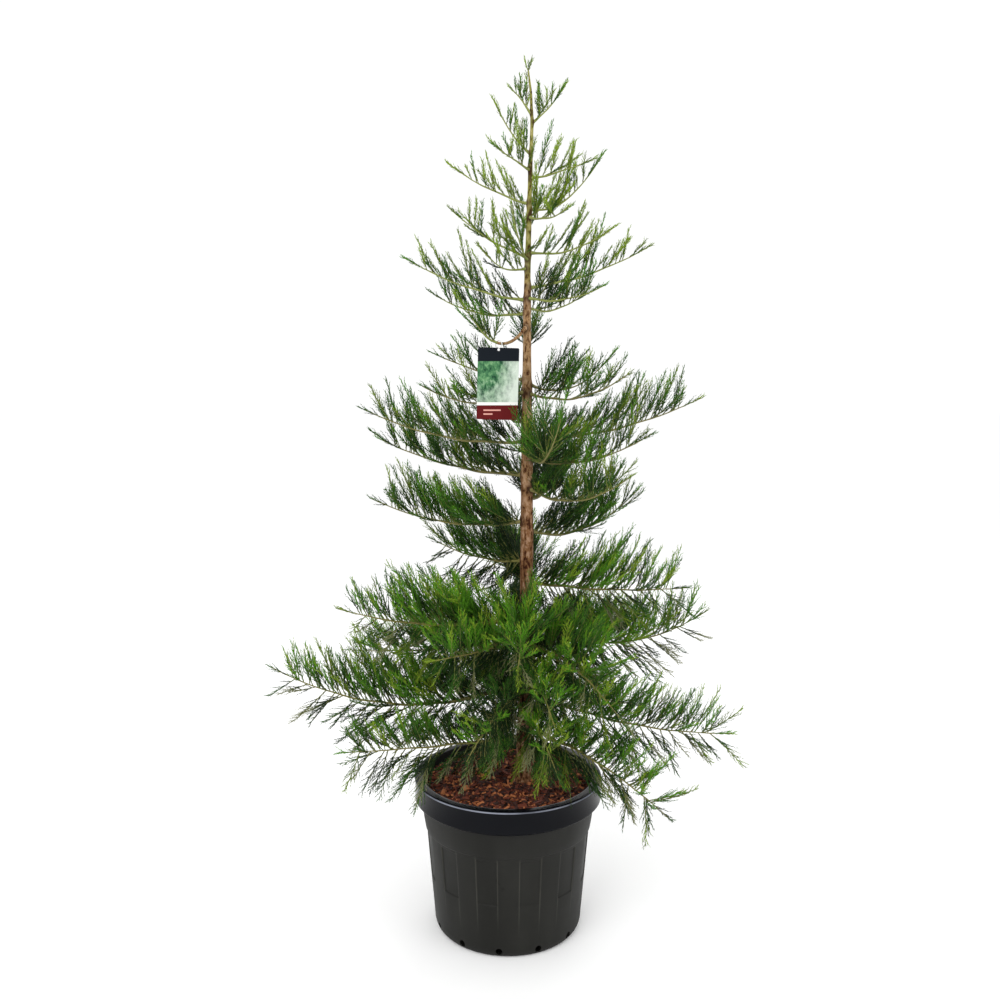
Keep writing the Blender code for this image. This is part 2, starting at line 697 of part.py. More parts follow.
# ---------------------------------------------------------------- tag
def build_tag(collection):
    """A card hung by a strap that loops over its bough."""
    here, along = tag_frame()
    plastic = material("tag", (0.55, 0.62, 0.45), 0.4)
    holder = next(bough for bough in BOUGHS if bough.name == TAG_BOUGH)
    lift = limb_radius(holder, TAG_PLACE) + 3.0 * GAP - TAG_LOOP_RADIUS + TAG_STRAP_RADIUS
    centre = here + UP * lift
    shape = bmesh.new()
    size = (TAG_WIDTH, TAG_THICKNESS, TAG_HEIGHT)
    bmesh.ops.create_cube(shape, size=1.0, matrix=Matrix.Diagonal((*size, 1.0)))
    top = centre - UP * (TAG_LOOP_RADIUS - TAG_STRAP_RADIUS)
    place = Matrix.Translation(top) @ Matrix.Rotation(math.radians(TAG_LEAN), 4, "Y")
    shape.transform(place @ Matrix.Translation((0.0, 0.0, -0.5 * TAG_HEIGHT)))
    mesh = bpy.data.meshes.new("tag")
    shape.to_mesh(mesh)
    shape.free()
    tag = add_object("tag", mesh, collection, plastic)
    loops = new_collection("strap")
    bpy.ops.mesh.primitive_torus_add(major_radius=TAG_LOOP_RADIUS, minor_radius=TAG_STRAP_RADIUS,
                                     major_segments=12, minor_segments=4)
    loop = bpy.context.object
    for holder in list(loop.users_collection):
        holder.objects.unlink(loop)
    loops.objects.link(loop)
    loop.matrix_world = Matrix.Translation(centre) @ along.to_track_quat("Z", "Y").to_matrix().to_4x4()
    bpy.context.view_layer.update()
    return join(tag, loops)


# ---------------------------------------------------------------- the whole plant
def main():
    clear_scene()
    parts = new_collection("giant_sequoia")
    cutters = new_collection("cutters")
    build_pot(parts, cutters)
    build_soil(parts)
    bark = material("bark", (0.30, 0.17, 0.10), 0.85)
    build_trunk(parts, bark)
    build_tag(parts)
    sleeve = build_sleeve(cutters)
    green = material("foliage", (0.10, 0.20, 0.05), 0.6)
    spaces = Spaces()
    grow_leader(parts, green)
    for index, bough in enumerate(BOUGHS):
        if bough.limb:
            build_limb(bough, sleeve, parts, bark)
        grow_mass(index, bough, spaces, sleeve, parts, green)


if __name__ == "__main__":
    main()
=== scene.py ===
"""Dresses the young giant sequoia: bark, twigs, needles, bark mulch, its ribbed pot and its tag."""

import math
import random
from collections import namedtuple

import bpy
import numpy as np
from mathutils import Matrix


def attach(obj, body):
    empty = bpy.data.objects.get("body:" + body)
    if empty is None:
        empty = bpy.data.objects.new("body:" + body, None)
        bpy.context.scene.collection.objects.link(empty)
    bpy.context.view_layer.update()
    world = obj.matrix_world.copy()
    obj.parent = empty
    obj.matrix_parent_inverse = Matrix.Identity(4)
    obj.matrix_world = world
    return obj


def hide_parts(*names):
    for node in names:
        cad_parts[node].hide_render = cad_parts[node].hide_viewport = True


bl_info = {
    "name": "Young Giant Sequoia",
    "version": (1, 0, 0),
    "blender": (4, 5, 0),
    "location": "View3D > Sidebar > Sequoia",
    "description": "Builds a young giant sequoia in its nursery pot around a fixed frame",
    "category": "Object",
}

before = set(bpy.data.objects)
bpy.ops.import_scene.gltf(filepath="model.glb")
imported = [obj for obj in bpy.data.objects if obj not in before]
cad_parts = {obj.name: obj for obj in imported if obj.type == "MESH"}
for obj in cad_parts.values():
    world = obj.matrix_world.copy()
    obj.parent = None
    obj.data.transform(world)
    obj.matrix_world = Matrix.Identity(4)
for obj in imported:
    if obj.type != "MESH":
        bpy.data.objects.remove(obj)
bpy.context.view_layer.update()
UP = np.array((0.0, 0.0, 1.0))

# ---------------------------------------------------------------- sizes shared with the frame
# Lengths are in metres and angles in degrees. They match the frame, so that what is drawn here
# fits over it.
GAP = 0.0003                # air between neighbouring pieces
SOIL_TOP = 0.312
POT_HEIGHT = 0.330
RIM_RADIUS = 0.200
RIM_ROUND = 0.004
LIP_DEPTH = 0.046
LIP_TURN = 0.010            # height over which the lip turns in to the collar
COLLAR_RADIUS = 0.183
COLLAR_TOP = 0.262
COLLAR_FOOT = 0.222
COLLAR_FOOT_RADIUS = 0.177
STEP_IN = 0.0025            # how far the wall lies inside the collar
BASE_RADIUS = 0.158
FOOT_RADIUS = 0.146
FOOT_HEIGHT = 0.022
WALL = 0.004
FLOOR = 0.004
FLUTES = 12
FLUTE_HALF_ANGLE = 7.5
FLUTE_LOW, FLUTE_HIGH = 0.115, 0.214
HOLES = 12
HOLE_RADIUS = 0.007
HOLE_TURN = 8.0             # how far the drain holes are turned from the flutes' edges
HOLE_HEIGHT = 0.013
HOLE_SLANT = 75.0
DRILL_LENGTH = 0.030
TRUNK_STATIONS = (  # height above the soil, x, y, radius
    (0.000, 0.0330, 0.000, 0.0240),
    (0.012, 0.0330, 0.000, 0.0195),
    (0.045, 0.0340, 0.001, 0.0165),
    (0.250, 0.0380, 0.003, 0.0150),
    (0.500, 0.0390, 0.000, 0.0135),
    (0.720, 0.0385, -0.003, 0.0115),
    (0.880, 0.0380, -0.002, 0.0090),
    (1.040, 0.0380, 0.001, 0.0065),
    (1.210, 0.0420, 0.003, 0.0046),
    (1.360, 0.0465, 0.001, 0.0032),
    (1.415, 0.0440, -0.001, 0.0026),
    (1.456, 0.0390, -0.002, 0.0014),
)
TRUNK_FOOT = SOIL_TOP + GAP
TRUNK_TOP = TRUNK_FOOT + TRUNK_STATIONS[-1][0]

# A bough leaves the trunk at its height and azimuth and ends at its reach. half and rise are how
# far its line has climbed at half way and at the tip, and limb is the bare length before its
# needles.
Bough = namedtuple("Bough", "name height azimuth reach half rise limb")
BOUGHS = [Bough(*row) for row in (
    ("left_1", 1.685, 200, 0.050, 0.030, 0.050, 0.0),
    ("right_1", 1.670, 20, 0.075, 0.035, 0.085, 0.0),
    ("left_2", 1.610, 165, 0.080, 0.045, 0.115, 0.0),
    ("left_3", 1.580, 225, 0.110, 0.015, 0.035, 0.0),
    ("right_2", 1.565, -35, 0.150, 0.005, 0.020, 0.0),
    ("left_4", 1.515, 180, 0.165, 0.030, 0.080, 0.0),
    ("right_3", 1.505, 20, 0.165, 0.025, 0.125, 0.0),
    ("right_4", 1.490, -65, 0.170, -0.015, -0.005, 0.0),
    ("back_1", 1.465, 95, 0.140, 0.025, 0.090, 0.0),
    ("right_5", 1.420, -25, 0.185, 0.000, 0.040, 0.0),
    ("left_5", 1.410, 150, 0.190, 0.045, 0.115, 0.0),
    ("front_1", 1.405, 255, 0.140, 0.025, 0.090, 0.0),
    ("left_6", 1.390, 220, 0.130, -0.005, 0.035, 0.0),
    ("right_6", 1.350, 10, 0.260, 0.030, 0.090, 0.0),
    ("right_7", 1.330, -50, 0.220, -0.010, 0.010, 0.0),
    ("left_7", 1.325, 190, 0.250, 0.025, 0.080, 0.0),
    ("right_8", 1.310, 45, 0.200, 0.005, 0.055, 0.0),
    ("left_8", 1.300, 150, 0.240, 0.005, 0.055, 0.0),
    ("front_2", 1.275, 240, 0.215, -0.040, 0.005, 0.120),
    ("back_2", 1.240, 85, 0.220, 0.005, 0.065, 0.0),
    ("left_9", 1.165, 155, 0.225, 0.020, 0.060, 0.0),
    ("right_9", 1.160, 10, 0.190, -0.010, 0.070, 0.0),
    ("left_10", 1.145, 210, 0.240, -0.025, 0.010, 0.0),
    ("right_10", 1.140, -40, 0.250, -0.010, 0.040, 0.0),
    ("back_3", 1.080, 105, 0.280, 0.005, 0.060, 0.0),
    ("right_11", 1.045, 0, 0.360, 0.020, 0.085, 0.0),
    ("left_11", 1.040, 185, 0.340, 0.010, 0.070, 0.0),
    ("front_3", 1.030, -80, 0.300, -0.020, 0.070, 0.0),
    ("right_12", 1.005, -30, 0.275, 0.000, 0.060, 0.0),
    ("left_12", 0.970, 155, 0.365, 0.015, 0.070, 0.0),
    ("right_13", 0.945, -50, 0.290, -0.015, 0.045, 0.0),
    ("back_4", 0.920, 70, 0.320, 0.005, 0.060, 0.0),
    ("left_13", 0.875, 190, 0.325, 0.000, 0.055, 0.0),
    ("right_14", 0.855, 25, 0.280, -0.005, 0.080, 0.0),
    ("left_14", 0.790, 145, 0.260, -0.005, 0.025, 0.0),
    ("right_15", 0.745, -10, 0.335, -0.010, 0.000, 0.0),
    ("back_5", 0.740, 95, 0.370, 0.000, 0.045, 0.0),
    ("left_16", 0.670, 200, 0.400, 0.000, 0.050, 0.070),
    ("right_16", 0.665, 5, 0.390, -0.055, 0.010, 0.0),
    ("front_4", 0.650, -95, 0.270, 0.000, -0.020, 0.0),
    ("left_15", 0.620, 150, 0.485, -0.055, -0.090, 0.0),
    ("front_5", 0.610, -56, 0.320, -0.010, -0.085, 0.0),
    ("front_6", 0.625, -132, 0.290, 0.000, 0.010, 0.0),
    ("front_7", 0.560, -80, 0.280, 0.000, -0.040, 0.0),
    ("front_8", 0.510, -114, 0.290, -0.005, -0.055, 0.0),
    ("front_9", 0.450, -78, 0.260, 0.010, -0.020, 0.0),
    ("back_6", 0.570, 48, 0.400, -0.005, 0.020, 0.0),
    ("left_17", 0.535, 190, 0.530, -0.040, 0.055, 0.085),
    ("right_17", 0.510, -20, 0.435, -0.045, -0.040, 0.0),
    ("right_18", 0.425, -45, 0.380, -0.015, -0.080, 0.0),
    ("left_18", 0.410, 205, 0.410, 0.010, 0.030, 0.0),
    ("back_7", 0.465, 112, 0.370, 0.000, 0.010, 0.0),
)]
LIMBED = [bough for bough in BOUGHS if bough.limb]
LIMB_RADIUS = 0.0058
LIMB_TIP_RADIUS = 0.0048
LIMB_THINNING = 0.35        # share of its thickness that a limb in the upper crown lacks
THINNER_ABOVE, THINNER_OVER = 0.70, 0.60
LIMB_SLIMMER = 0.86         # bark and knots stand out from a stem this much slimmer
TRUNK_RINGS = 0.0035        # between rings of the trunk's bark

# The rule that twigs grow by, as in the frame.
SEED = 1853
TWIG_SPACING = 0.041        # between side sprays along a stem
TWIG_REACH = 0.050          # shortest side spray
TWIG_REACH_SHARE = 0.32     # and what each metre of the bough's reach adds to it
LONGEST_SPRAY = 0.150
TWIG_SHRINK = 0.58          # share of its length a spray loses at the bough's tip
TWIG_ANGLE = 50.0           # between a stem and its side sprays
TWIG_LIFT = 0.25            # how much a side spray turns up
TWIG_ROLLS = (28.0, -32.0, 72.0, -4.0, -75.0, 44.0, -48.0)      # from straight up
TIP_SPRAY = 0.055           # the spray that ends a stem, or less on a short bough
HANG_BELOW = 0.80           # boughs lower than this have some hanging sprays
HANG_ROLL = 165.0
SHORTER = (1.0, 0.85, 0.7, 0.55, 0.4, 0.28)     # shares of its length that a shoot is cut to
CLEARANCE = 0.001           # between a twig and a limb or the pot
MINGLE = 0.030              # how far the fine growth of neighbouring masses may interlock
LOWEST_TWIG = 0.345         # no twig over the pot hangs lower
LINE_PIECES = 12            # straight pieces that stand for a stem when room is measured

# What the finer growth adds: lush sprays below one height, and narrow combs above another.
LUSH_BELOW, LUSH_OVER = 1.15, 0.35
LUSH_TWIGS = 3.0            # more finer twigs to each of the frame's
LUSH_INNER_TWIGS = 13.0     # and more again beside the trunk
LUSH_LENGTH = 0.22
LUSH_ANGLE = 6.0
FINER_SHRINK = 0.60
COMB_ABOVE, COMB_OVER = 1.15, 0.20
COMB_SHARE = 0.40           # share more side shoots, and share shorter
COMB_ANGLE = 5.0
UPRIGHT_ABOVE = 1.20        # the finer sprays of higher boughs turn less to the side
DROOPING = 110.0            # a twig rolled past this droops
TWIG_PROBES, TWIG_MARGIN = (0.3, 0.5, 0.75, 1.0), 0.0012        # where its room is measured
SHOOT_PROBES, SHOOT_MARGIN = (0.6, 1.0), 0.0008
SHOOT_REACH = 0.007         # shortest side shoot
SHOOT_REACH_SHARE = 0.40    # and what each metre of its twig adds to it
SHOOT_ANGLE = 24.0
SHOOT_RADIUS = 0.00095
NEEDLE_TURN = 137.5         # round the shoot from one needle to the next
NEEDLE_TILT = 21.0          # between a needle and its shoot, less toward the shoot's end

TAG_BOUGH = "front_2"
TAG_PLACE = 0.115           # along its bough, from the trunk's middle
TAG_WIDTH = 0.080
TAG_HEIGHT = 0.139
TAG_THICKNESS = 0.0010
TAG_LOOP_RADIUS = 0.0072
TAG_STRAP_RADIUS = 0.0009
TAG_LEAN = 1.5
TAG_CLEARANCE = 0.006
TAG_STRIPS = 12             # across the card, so that it can bow
PUNCH_RADIUS = 0.0024
PUNCH_BELOW = 0.004         # the middle of the hole below the card's top

FLOOR_RADIUS = 40.0
LIGHTS_AIM = (0.0, 0.0, 0.9)
CAMERA_ASIDE = -0.017
CAMERA_LENS = 34.96         # millimetres, as is the sensor's width
CAMERA_SENSOR = 36.0


# ---------------------------------------------------------------- workshop helpers
def start_clean():
    """Leaves edit mode and selects nothing."""
    if bpy.context.object and bpy.context.object.mode != "OBJECT":
        bpy.ops.object.mode_set(mode="OBJECT")
    bpy.ops.object.select_all(action="DESELECT")


def take(obj):
    """Makes obj the only selected and the active object."""
    start_clean()
    obj.select_set(True)
    bpy.context.view_layer.objects.active = obj
    return obj


def fasten(obj, name, finish, slot, *nodes):
    """Names a finished piece, fixes its place in its mesh and fastens it to the plant."""
    take(obj)
    bpy.ops.object.transform_apply(location=True, rotation=True, scale=True)
    obj.name = obj.data.name = name
    if finish is not None:
        obj.data.materials.clear()
        obj.data.materials.append(finish)
    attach(obj, "root")
    if nodes:
        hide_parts(*nodes)
    return obj


def pick_faces(obj, test):
    """Selects, in edit mode, the faces whose centre passes the test."""
    bpy.ops.object.mode_set(mode="EDIT")
    bpy.ops.mesh.select_mode(type="FACE")
    bpy.ops.mesh.select_all(action="DESELECT")
    bpy.ops.object.mode_set(mode="OBJECT")
    for face in obj.data.polygons:
        face.select = bool(test(face.center, face.normal))
    bpy.ops.object.mode_set(mode="EDIT")


def apply_modifier(obj, kind, **settings):
    """Adds one modifier to obj and applies it."""
    modifier = obj.modifiers.new(kind.lower(), kind)
    for key, value in settings.items():
        setattr(modifier, key, value)
    take(obj)
    bpy.ops.object.modifier_apply(modifier=modifier.name)


def cut(obj, tool):
    """Cuts a tool's form out of obj and clears the tool away."""
    apply_modifier(obj, "BOOLEAN", operation="DIFFERENCE", solver="EXACT", object=tool)
    bpy.data.objects.remove(tool)


def disc(sides, radius, height=0.0):
    """A new flat disc."""
    start_clean()
    bpy.ops.mesh.primitive_circle_add(vertices=sides, radius=radius, fill_type="NGON",
                                      location=(0.0, 0.0, height))
    return bpy.context.object


def draw_out(*shift):
    """Extrudes what is selected in edit mode."""
    bpy.ops.mesh.extrude_region_move(TRANSFORM_OT_translate={"value": shift})


def face_outward():
    """Selects all faces in edit mode and turns them outward."""
    bpy.ops.mesh.select_all(action="SELECT")
    bpy.ops.mesh.normals_make_consistent(inside=False)


def rounded(angle=30.0):
    """Smooths the active object's shading but for its sharp edges."""
    bpy.ops.object.shade_smooth_by_angle(angle=math.radians(angle))


# Large odd numbers that stir the corners of the noise's grid.
HASH_STEPS = np.array((73856093, 19349663, 83492791))
HASH_SEED = 2654435761
HASH_STIR = 1274126177
HASH_BITS, HASH_KEPT = 0xFFFFFFFF, 0xFFFFFF


def lumps(points, seed=0):
    """Smooth noise from 0 to 1, with about one lump to each unit of length."""
    cell = np.floor(points).astype(np.int64)
    part = points - cell
    part = part * part * (3.0 - 2.0 * part)
    total = np.zeros(len(points))
    for corner in np.ndindex(2, 2, 2):
        key = (cell + corner) @ HASH_STEPS + seed * HASH_SEED
        key = (key ^ (key >> 13)) * HASH_STIR & HASH_BITS
        value = ((key ^ (key >> 16)) & HASH_KEPT) / float(HASH_KEPT)
        total += value * np.prod(np.where(corner, part, 1.0 - part), axis=1)
    return total


def vertex_array(mesh, what):
    """Vertex places or normals as an array of rows."""
    rows = np.empty(len(mesh.vertices) * 3)
    mesh.vertices.foreach_get(what, rows)
    return rows.reshape(-1, 3)


def push_out(obj, distance):
    """Moves each point of a mesh along its normal."""
    places, normals = vertex_array(obj.data, "co"), vertex_array(obj.data, "normal")
    places += normals * distance[:, None]
    obj.data.vertices.foreach_set("co", places.ravel())


def keep_number(obj, name, values):
    """Keeps a number for each point on a mesh, for its finish to read."""
    kept = obj.data.attributes.new(name, "FLOAT", "POINT")
    kept.data.foreach_set("value", values.astype(np.float32))


def clamped(value):
    """The value, but no less than 0 and no more than 1."""
    return min(1.0, max(0.0, value))


def mesh_from(name, places, triangles, smooth=True):
    """One joined mesh from arrays of places and triangles."""
    mesh = bpy.data.meshes.new(name)
    mesh.vertices.add(len(places))
    mesh.vertices.foreach_set("co", np.asarray(places, np.float32).ravel())
    mesh.loops.add(3 * len(triangles))
    mesh.loops.foreach_set("vertex_index", np.asarray(triangles, np.int32).ravel())
    mesh.polygons.add(len(triangles))
    mesh.polygons.foreach_set("loop_start", np.arange(0, 3 * len(triangles), 3, dtype=np.int32))
    mesh.polygons.foreach_set("use_smooth", np.full(len(triangles), smooth))
    mesh.update(calc_edges=True)
    obj = bpy.data.objects.new(name, mesh)
    bpy.context.scene.collection.objects.link(obj)
    return obj


# ---------------------------------------------------------------- finishes
def tint(red, green, blue):
    """A screen colour, 0 to 255, as the linear colour a shader takes."""
    return tuple(c / 12.92 if c <= 0.04045 else ((c + 0.055) / 1.055) ** 2.4
                 for c in (red / 255.0, green / 255.0, blue / 255.0))


class Finish:
    """A material with its shader, to which patterns are added."""

    def __init__(self, name, colour, roughness, **sockets):
        self.material = bpy.data.materials.new(name)
        self.material.use_nodes = True
        self.tree = self.material.node_tree
        self.shader = self.tree.nodes["Principled BSDF"]
        self.shader.inputs["Base Color"].default_value = (*colour[:3], 1.0)
        self.shader.inputs["Roughness"].default_value = roughness
        for key, value in sockets.items():
            self.shader.inputs[key.replace("_", " ")].default_value = value
        self.material.diffuse_color = (*colour[:3], 1.0)

    def node(self, kind, **inputs):
        """A new node with its sockets set or linked."""
        made = self.tree.nodes.new(kind)
        for key, value in inputs.items():
            key = int(key[1:]) if key[1:].isdigit() else key.replace("_", " ")
            socket = made.inputs[key]
            if isinstance(value, bpy.types.NodeSocket):
                self.tree.links.new(value, socket)
            else:
                socket.default_value = value
        return made

    def place(self, scale=(1.0, 1.0, 1.0), shift=(0.0, 0.0, 0.0)):
        """Object coordinates, stretched and shifted."""
        coordinates = self.node("ShaderNodeTexCoord")
        mapping = self.node("ShaderNodeMapping", Vector=coordinates.outputs["Object"])
        mapping.inputs["Scale"].default_value = scale
        mapping.inputs["Location"].default_value = shift
        return mapping.outputs["Vector"]

    def noise(self, scale, detail=4.0, stretch=(1.0, 1.0, 1.0), rough=0.55,
              shift=(0.0, 0.0, 0.0)):
        """Noise from 0 to 1 over the object."""
        made = self.node("ShaderNodeTexNoise", Vector=self.place(stretch, shift), Scale=scale,
                         Detail=detail, Roughness=rough)
        return made.outputs["Fac"]

    def ramp(self, value, *stops):
        """Colours along a value: each stop is a place and a colour."""
        made = self.node("ShaderNodeValToRGB", Fac=value)
        elements = made.color_ramp.elements
        while len(elements) < len(stops):
            elements.new(1.0)
        for element, (where, colour) in zip(elements, stops):
            element.position = where
            element.color = (*colour[:3], 1.0)
        return made.outputs["Color"]

    def band(self, value, low, high, out_low=0.0, out_high=1.0):
        """A value carried from one range to another."""
        made = self.node("ShaderNodeMapRange", Value=value, From_Min=low, From_Max=high,
                         To_Min=out_low, To_Max=out_high)
        return made.outputs["Result"]

    def sum(self, kind, a, b=0.0):
        """Arithmetic on one or two values."""
        made = self.node("ShaderNodeMath", _0=a, _1=b)
        made.operation = kind
        return made.outputs["Value"]

    def product(self, a, b):
        """One value scaled by another."""
        return self.sum("MULTIPLY", a, b)

    def away(self, value, middle):
        """How far a value is from a middle, either way."""
        return self.sum("ABSOLUTE", self.sum("SUBTRACT", value, middle))

    def mix(self, share, a, b, kind="MIX"):
        """Two colours mixed by a share."""
        made = self.tree.nodes.new("ShaderNodeMix")
        made.data_type = "RGBA"
        made.blend_type = kind
        for socket, value in zip((made.inputs[0], made.inputs[6], made.inputs[7]), (share, a, b)):
            if isinstance(value, bpy.types.NodeSocket):
                self.tree.links.new(value, socket)
            elif socket is made.inputs[0]:
                socket.default_value = value
            else:
                socket.default_value = (*value[:3], 1.0)
        return made.outputs[2]

    def axes(self, **shift):
        """The three coordinates, each on its own."""
        return self.node("ShaderNodeSeparateXYZ", Vector=self.place(**shift)).outputs

    def height(self):
        """Height above the floor."""
        return self.axes()["Z"]

    def attribute(self, name):
        """A number kept on the mesh."""
        made = self.tree.nodes.new("ShaderNodeAttribute")
        made.attribute_name = name
        return made.outputs["Fac"]

    def wear(self, colour=None, roughness=None, bump=None, strength=0.3, distance=0.001):
        """Links patterns to the shader and gives the material."""
        if colour is not None:
            self.tree.links.new(colour, self.shader.inputs["Base Color"])
        if roughness is not None:
            self.tree.links.new(roughness, self.shader.inputs["Roughness"])
        if bump is not None:
            made = self.node("ShaderNodeBump", Height=bump, Strength=strength, Distance=distance)
            self.tree.links.new(made.outputs["Normal"], self.shader.inputs["Normal"])
        return self.material


def wall_finish(settings):
    """Charcoal moulded plastic with dust, faint stains and fine grain, and a painted highlight
    along the flutes' edges.
    """
    made = Finish("pot_wall_plastic", settings.wall_colour, 0.5, Specular_IOR_Level=0.16)
    cloud = made.noise(9.0, 5.0, rough=0.6)
    streak = made.noise(14.0, 3.0, stretch=(1.0, 1.0, 0.12))
    dust = made.band(made.product(cloud, streak), 0.16, 0.42)
    dusty = [min(1.0, 1.5 * c + 0.004) for c in settings.wall_colour]
    colour = made.mix(dust, settings.wall_colour, dusty)
    stains = made.band(made.noise(26.0, 3.0, shift=(3.0, 1.0, 0.0)), 0.70, 0.76)
    colour = made.mix(stains, colour, tint(16, 15, 12))
    level = made.axes()
    turn = made.sum("ARCTAN2", level["Y"], level["X"])
    share = made.sum("FRACT", made.product(turn, FLUTES / (2.0 * math.pi)))
    from_edge = made.away(made.away(share, 0.5), FLUTE_HALF_ANGLE * FLUTES / 360.0)
    # A lighter band along each flute's edges, fading toward the bottom and broken by noise: a
    # painted highlight where the edges catch the light.
    flute_edge_highlight = made.product(made.band(from_edge, 0.022, 0.004), made.band(made.height(), 0.045, 0.125))
    flute_edge_highlight = made.product(flute_edge_highlight, made.band(made.height(), COLLAR_FOOT, FLUTE_HIGH, 0.0, 0.6))
    flute_edge_highlight = made.product(flute_edge_highlight, made.band(cloud, 0.3, 0.6, 0.3, 1.0))
    colour = made.mix(flute_edge_highlight, colour, tint(66, 66, 60))
    roughness = made.band(cloud, 0.25, 0.75, 0.44, 0.66)
    return made.wear(colour, roughness, made.noise(900.0, 2.0), 0.12, 0.0005)


def lip_finish(settings):
    """Blue-black plastic, polished by handling, with a painted highlight: a bright line along its
    top edge.
    """
    made = Finish("pot_lip_plastic", settings.lip_colour, 0.15, Specular_IOR_Level=0.10)
    cloud = made.noise(18.0, 4.0)
    colour = made.mix(made.band(cloud, 0.45, 0.8), settings.lip_colour, tint(6, 8, 13))
    # A thin pale blue-white line just under the rim's top, broken by noise: a painted highlight
    # along the rounded edge.
    edge = made.band(made.away(made.height(), POT_HEIGHT - 0.0025), 0.0016, 0.0008)
    lip_top_highlight = made.product(edge, made.band(cloud, 0.35, 0.6, 0.45, 1.0))
    colour = made.mix(lip_top_highlight, colour, tint(128, 132, 144))
    roughness = made.band(cloud, 0.3, 0.7, 0.16, 0.28)
    return made.wear(colour, roughness, made.noise(700.0, 2.0), 0.06, 0.0004)


def bark_finish(settings):
    """Flaking red-brown bark low on the trunk, tan higher up and olive green at the top."""
    made = Finish("trunk_bark", settings.low_colour, 0.85, Specular_IOR_Level=0.12)
    fibre = made.noise(80.0, 6.0, stretch=(1.0, 1.0, 0.14), rough=0.7)
    flake = made.noise(120.0, 4.0, stretch=(1.0, 1.0, 0.50), rough=0.62, shift=(1.0, 4.0, 2.0))
    broad = made.noise(11.0, 3.0, stretch=(1.0, 1.0, 0.5), rough=0.6)
    climb = made.sum("ADD", made.height(), made.band(broad, 0.3, 0.7, -0.10, 0.10))
    low, middle, top = settings.low_colour, settings.middle_colour, settings.top_colour
    colour = made.ramp(made.band(climb, 0.30, 1.80), (0.10, low), (0.36, low), (0.52, middle),
                       (0.62, middle), (0.72, top))
    for pattern, start, end, most, tone, kind in (
            (flake, 0.52, 0.60, 0.95, tint(124, 104, 88), "SCREEN"),
            (flake, 0.48, 0.40, 0.95, tint(116, 84, 66), "MULTIPLY"),
            (fibre, 0.48, 0.34, 0.85, tint(128, 100, 76), "MULTIPLY")):
        colour = made.mix(made.band(pattern, start, end, 0.0, most), colour, tone, kind)
    colour = made.mix(made.attribute("knot"), colour, settings.knot_colour)
    roughness = made.band(fibre, 0.3, 0.7, 0.95, 0.75)
    return made.wear(colour, roughness, made.sum("ADD", fibre, flake), 0.6, 0.002)


def plain_finish(name, colour, roughness=0.55, **sockets):
    """A plain base colour, dealt out by spray or chip."""
    return Finish(name, colour, roughness, **sockets).material


CARD_FOOT_TOP, CARD_PANEL_FOOT, CARD_HEAD_FOOT = 0.028, 0.034, 0.113    # above its lower edge
CARD_BARS = ((0.0185, -0.030, 0.004), (0.0110, -0.030, -0.012))         # height, start and end


def card_finish(middle, foot):
    """A printed card: dark head, mottled green panel, white strip, red foot with two bars."""
    paper = tint(226, 228, 222)
    made = Finish("tag_card", paper, 0.5, Specular_IOR_Level=0.12)
    axes = made.axes(shift=(-middle, 0.0, -foot))
    across, rise = axes["X"], axes["Z"]
    leafy = made.noise(90.0, 6.0, stretch=(1.0, 1.0, 0.7), rough=0.72)
    patch = made.noise(30.0, 3.0, rough=0.6, shift=(2.0, 0.0, 1.0))
    green = made.ramp(leafy, (0.36, tint(24, 62, 42)), (0.50, tint(66, 116, 76)),
                      (0.64, tint(112, 156, 108)))
    fade = made.band(across, -0.010, 0.040)
    for more in (made.band(rise, 0.085, 0.034, 0.0, 0.50), made.band(patch, 0.3, 0.7, -0.25, 0.25),
                 made.band(leafy, 0.35, 0.65, -0.22, 0.22)):
        fade = made.sum("ADD", fade, more)
    panel = made.mix(made.band(fade, 0.10, 1.15, 0.0, 0.85), green, tint(214, 222, 212))
    colour = made.mix(made.band(rise, CARD_PANEL_FOOT, CARD_PANEL_FOOT + 0.0001), paper, panel)
    red = made.mix(made.noise(60.0), tint(96, 16, 18), tint(78, 10, 13))
    colour = made.mix(made.band(rise, CARD_FOOT_TOP + 0.0001, CARD_FOOT_TOP), colour, red)
    for height, start, end in CARD_BARS:
        within = made.product(made.band(across, start, start + 0.0003),
                              made.band(across, end, end - 0.0003))
        bar = made.product(made.band(made.away(rise, height), 0.0016, 0.0013), within)
        colour = made.mix(bar, colour, tint(206, 150, 138))
    head = made.band(rise, CARD_HEAD_FOOT - 0.0002, CARD_HEAD_FOOT + 0.0002)
    colour = made.mix(head, colour, tint(8, 16, 24))
    return made.wear(colour, made.band(leafy, 0.3, 0.7, 0.44, 0.56))


# ---------------------------------------------------------------- settings
def size(name, default, low, high, about):
    """A length that a user may change."""
    return bpy.props.FloatProperty(name=name, description=about, default=default, min=low, max=high,
                                   subtype="DISTANCE", unit="LENGTH")


def amount(name, default, low, high, about):
    """A plain number that a user may change."""
    return bpy.props.FloatProperty(name=name, description=about, default=default, min=low, max=high)


def number(name, default, low, high, about, step=1):
    """A whole number that a user may change."""
    return bpy.props.IntProperty(name=name, description=about, default=default, min=low, max=high,
                                 step=step)


def colour(name, default, about):
    """A colour that a user may change."""
    return bpy.props.FloatVectorProperty(name=name, description=about, default=default, min=0.0,
                                         max=1.0, size=3, subtype="COLOR")


class PotSettings(bpy.types.PropertyGroup):
    """Sizes and colours of the pot."""

    sides: number("Sides", 192, 96, 384, "Faces round the pot", step=96)
    flute_depth: size("Flute depth", 0.0022, 0.0, 0.003, "How deep the flutes are pressed in")
    flute_edge: size("Flute edge", 0.0016, 0.0005, 0.004, "Width of the flutes' sloping edge")
    wall_colour: colour("Wall colour", tint(23, 23, 20), "Colour of the matt wall")
    lip_colour: colour("Lip colour", tint(4, 5, 10), "Colour of the polished lip")


